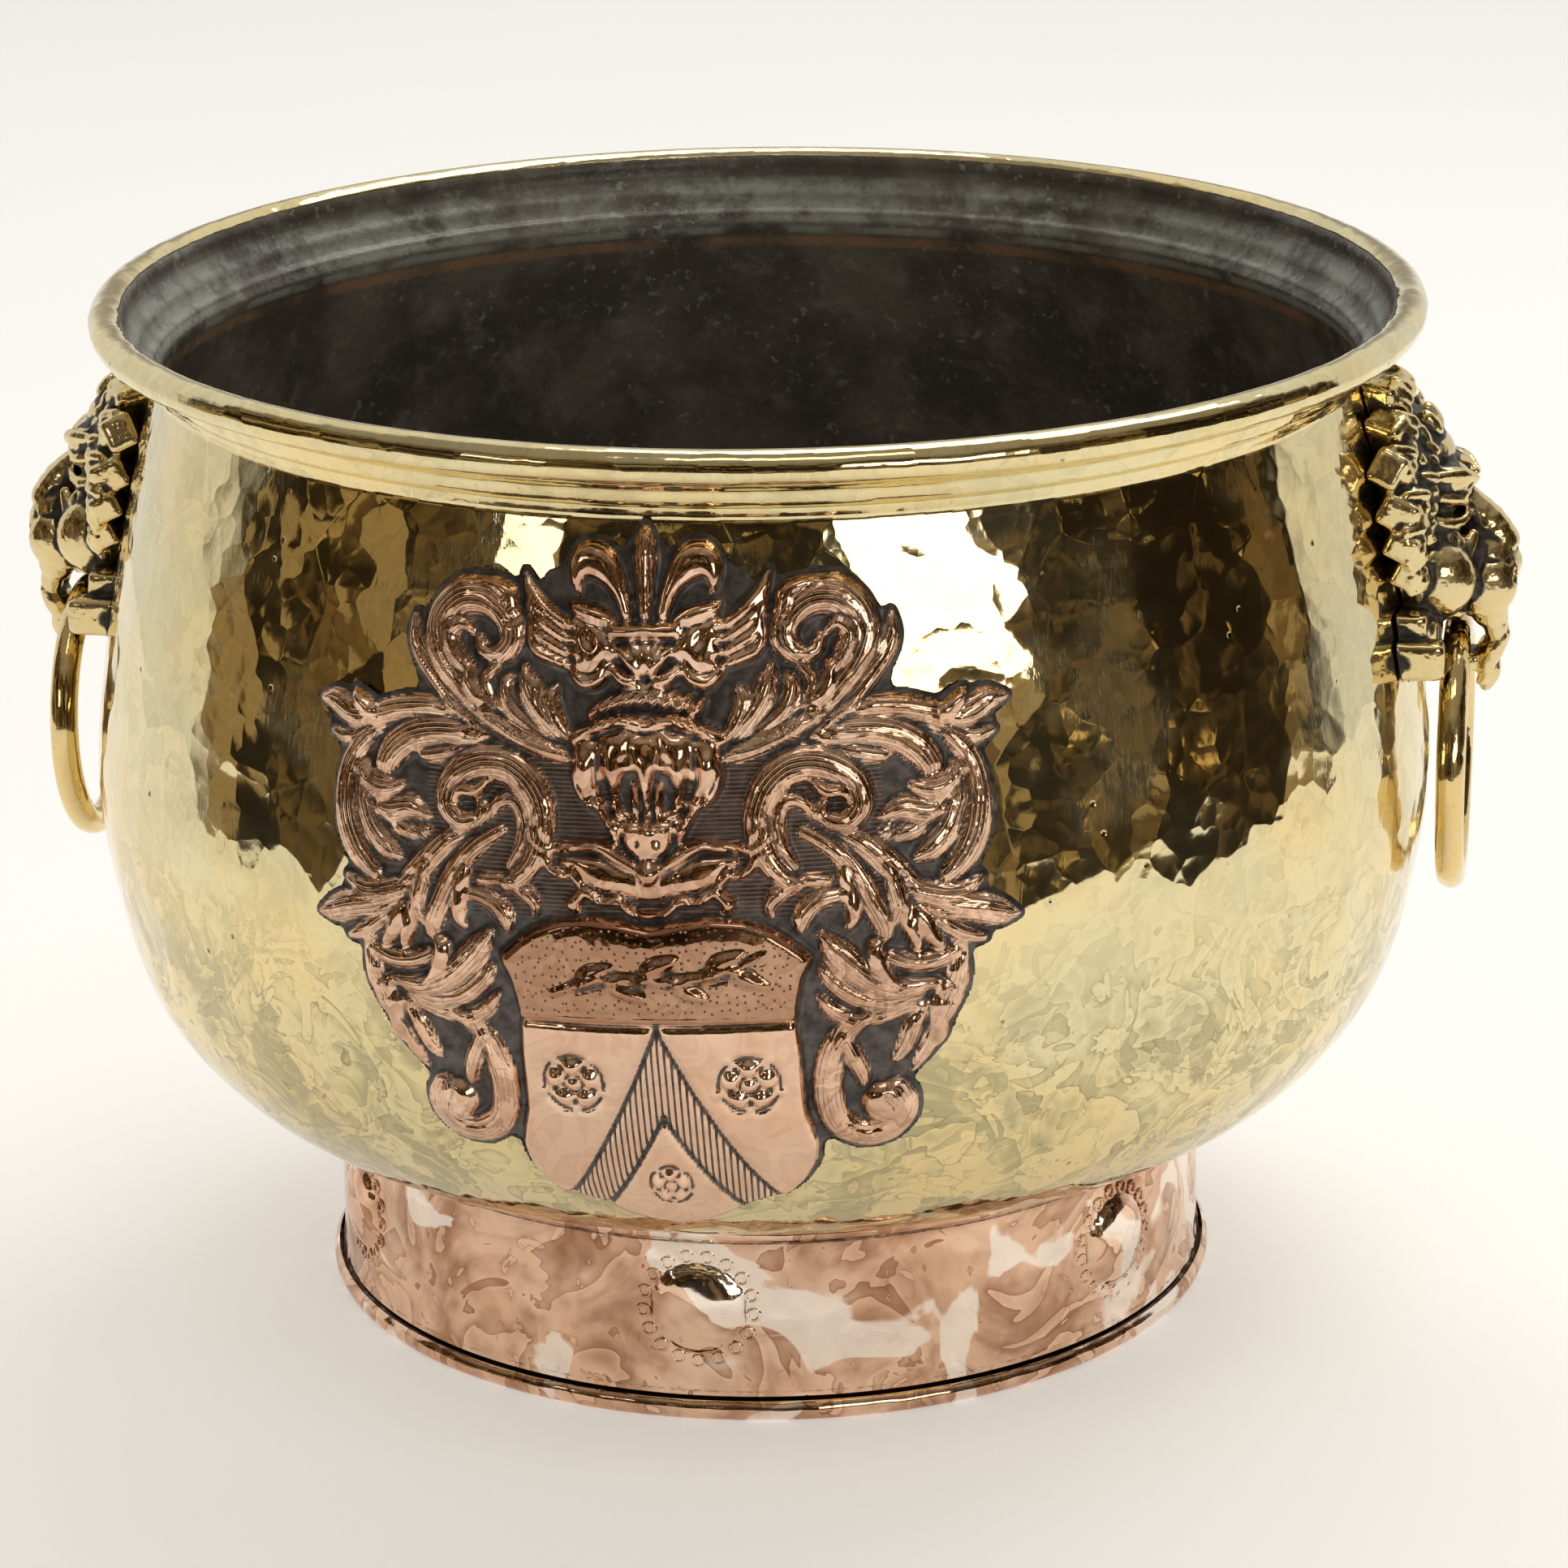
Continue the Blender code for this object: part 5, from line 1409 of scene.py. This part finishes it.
# %% Dress it to the wall
crest_tilt = math.radians(1.9)
crest_shift = 1.5
middle = 175.25
slope_up, slope_across = np.gradient(cut, up[1, 0] - up[0, 0], across[0, 1] - across[0, 0])
steep = np.maximum(slope_up**2 + slope_across**2, 0.2)
outside = (cut < 0) & (cut > -1.6)
pulled_across = across - np.where(outside, cut * slope_across / steep, 0)
pulled_up = up - np.where(outside, cut * slope_up / steep, 0)
leant = pulled_across * math.cos(crest_tilt) - (pulled_up - middle) * math.sin(crest_tilt)
level = (pulled_across * math.sin(crest_tilt) + (pulled_up - middle) * math.cos(crest_tilt) + middle) * MM
skin = wall_radius(level)
steepness = (wall_radius(level + 0.5 * MM) - wall_radius(level - 0.5 * MM)) / MM
stand = gap + (0.75 + np.maximum(raised, -0.35)) * MM
stand = np.where(outside, gap + 0.35 * MM, stand)
out_share = 1 / np.sqrt(1 + steepness**2)
turn = (leant + crest_shift) * MM / belly_radius
radius = skin + stand * out_share
level = level - stand * steepness * out_share
level = np.minimum(level, neck_height + 0.4 * MM)
placed = np.stack([radius * np.sin(turn), -radius * np.cos(turn), level], axis=-1)
drawing = crest.data.uv_layers.new(name="drawing")
corners = np.empty(len(crest.data.loops), int)
crest.data.loops.foreach_get("vertex_index", corners)
spots = np.stack([across.ravel(), up.ravel()], axis=1)[corners] / 100
drawing.data.foreach_set("uv", spots.astype(np.float32).ravel())
move_points(crest, placed.reshape(-1, 3))
marks = {"grime": grime, "hatched": hatched, "lined": lined, "stippled": stippled}
marks.update({"shield": ramp(inset, 0, 0.8), "stripe": stripe, "chased": chased})
for name, values in marks.items():
    mark(crest, name, values.ravel())
gone = (cut < -1.55).ravel()
pick(crest)
crest.data.vertices.foreach_set("select", gone)
crest.data.edges.foreach_set("select", np.zeros(len(crest.data.edges), bool))
crest.data.polygons.foreach_set("select", np.zeros(len(crest.data.polygons), bool))
bpy.ops.object.mode_set(mode="EDIT")
bpy.ops.mesh.select_mode(type="VERT")
bpy.ops.mesh.delete(type="VERT")
bpy.ops.mesh.select_all(action="SELECT")
bpy.ops.mesh.normals_make_consistent(inside=False)
bpy.ops.object.mode_set(mode="OBJECT")
print("crest:", len(crest.data.polygons), "faces before it is thickened")
finish_with(crest, "SOLIDIFY", thickness=0.45 * MM, offset=-1, use_rim=True)

# %% Copper of the crest
crest_copper, start, where = new_finish("chased_copper")
drawn = start.node("UVMap", {"uv_map": "drawing"})
place_across = drawn.node("SeparateXYZ", take=0, Vector=drawn)
place_up = drawn.node("SeparateXYZ", take=1, Vector=drawn)
grime = attribute(where, "grime")
hatching = attribute(where, "hatched")
lining = attribute(where, "lined")
stipple = attribute(where, "stippled")
tone = grain(where, 0.02, 3.0).between(0.3, 0.7)
polished = tone.tint((0.88, 0.62, 0.45, 1), (0.85, 0.55, 0.37, 1))
# Darker mottled patches over the copper, fewer on the shield, and a darker band across the shield's chief.
darker_patches = (
    pools(where, 0.014, 4.0).between(0.2, 0.9) * 0.40 + grain(where, 0.030, 3.0).between(0.35, 0.65) * 0.40
)
chief = place_up.between(1.440, 1.448) * (1 - place_up.between(1.74, 1.76)) * attribute(where, "shield")
darker_patches = darker_patches * (1 - attribute(where, "shield") * 0.65) + chief * 0.75
polished = darker_patches.tint(polished, (0.40, 0.215, 0.125, 1))
hatch_step, row_step, dot_step, chase_step = 1.72, 1.15, 2.3, 1.25  # all in millimetres
hatch = where.maths("COSINE", place_across * (2 * math.pi * 100 / hatch_step)).between(0.15, 0.75)
hatch = hatch * hatching.between(0.45, 0.8)
rows_cut = where.maths("COSINE", place_up * (2 * math.pi * 100 / row_step)).between(-0.2, 0.8) * lining
flat_dots = {"voronoi_dimensions": "2D"}
dots = where.node("TexVoronoi", flat_dots, Vector=drawn, Scale=100 / dot_step, Randomness=0.75)
dots = (1 - dots.between(0.10, 0.17)) * stipple
stripes = where.maths("COSINE", attribute(where, "stripe") * (2 * math.pi / chase_step))
stripes = (1 - stripes.between(-0.75, 0.15)) * attribute(where, "chased").between(0.6, 1.0)
stripes = stripes * grain(where, 0.006, 2.0).between(0.30, 0.55)
mottle = (grain(where, 0.0018, 3.0) - 0.5) * 0.45
dirty = (grime + mottle + hatch * 0.85 + dots * 0.7 + stripes * 0.45).between(0.32, 0.85)
dirt = grain(where, 0.004, 3.0).between(0.3, 0.7).tint((0.050, 0.042, 0.038, 1), (0.135, 0.115, 0.105, 1))
teal = grain(where, 0.011, 3.0).between(0.60, 0.72) * grime
dirt = (teal * 0.6).tint(dirt, (0.10, 0.15, 0.15, 1))
dirt = (rows_cut * 0.5).tint(dirt, (0.42, 0.25, 0.17, 1))
colour = dirty.tint(polished, dirt)
height = grain(where, 0.007, 2.0) * 0.00030 + grain(where, 0.0012, 2.0) * 0.00001
height = height - stripes * 0.00016 - hatch * 0.00035 - dots * 0.00022 + rows_cut * 0.00018
height = height + dishes(where, 0.012, 0.00022)
rough = 0.07 + dirty * 0.33
haze = grain(where, 0.01).between(0.45, 0.75) * 0.25 + 0.05
close(mirror(start, colour, rough, height, haze, 0.3, metal=1 - dirty * 0.45))
crest.data.materials.append(crest_copper)
shade(crest, 60)
keep(crest, "pot", "copper_crest", "crest_plate")


# %% [markdown]
# ## Plain pieces that keep their frame shape
# The studs, washers and nuts that hold the masks, and the wires inside the rolled edges, are simple
# in life too. They keep their meshes and get a finish: dull brass inside the pot, and rusty iron.

# %% Finishes of the small pieces
dull_brass, start, where = new_finish("dull_brass")
tone = grain(where, 0.003, 3.0).between(0.35, 0.65)
colour = tone.tint((0.30, 0.22, 0.11, 1), (0.16, 0.12, 0.07, 1))
green = grain(where, 0.0016, 2.0).between(0.60, 0.72)
colour = (green * 0.5).tint(colour, (0.22, 0.26, 0.21, 1))
height = grain(where, 0.0008, 3.0) * 0.00008
normal = start.node("Bump", Strength=1.0, Distance=1.0, Height=height)
close(
    start.node(
        "BsdfPrincipled", Base_Color=colour, Metallic=1 - green * 0.6, Roughness=0.32 + green * 0.3,
        Normal=normal
    )
)

iron, start, where = new_finish("rusty_iron")
rust = grain(where, 0.004, 4.0).between(0.40, 0.62)
colour = rust.tint((0.16, 0.15, 0.14, 1), (0.20, 0.085, 0.035, 1))
normal = start.node("Bump", Strength=1.0, Distance=1.0, Height=grain(where, 0.0012, 3.0) * 0.0001)
close(
    start.node(
        "BsdfPrincipled", Base_Color=colour, Metallic=1 - rust, Roughness=0.45 + rust * 0.4, Normal=normal
    )
)

for name, node in frame["nodes"].items():
    if "wire" in name:
        finish = iron
    elif name.startswith("mask_"):
        finish = dull_brass
    else:
        continue
    node.data.materials.clear()
    node.data.materials.append(finish)
    print(name, finish.name)
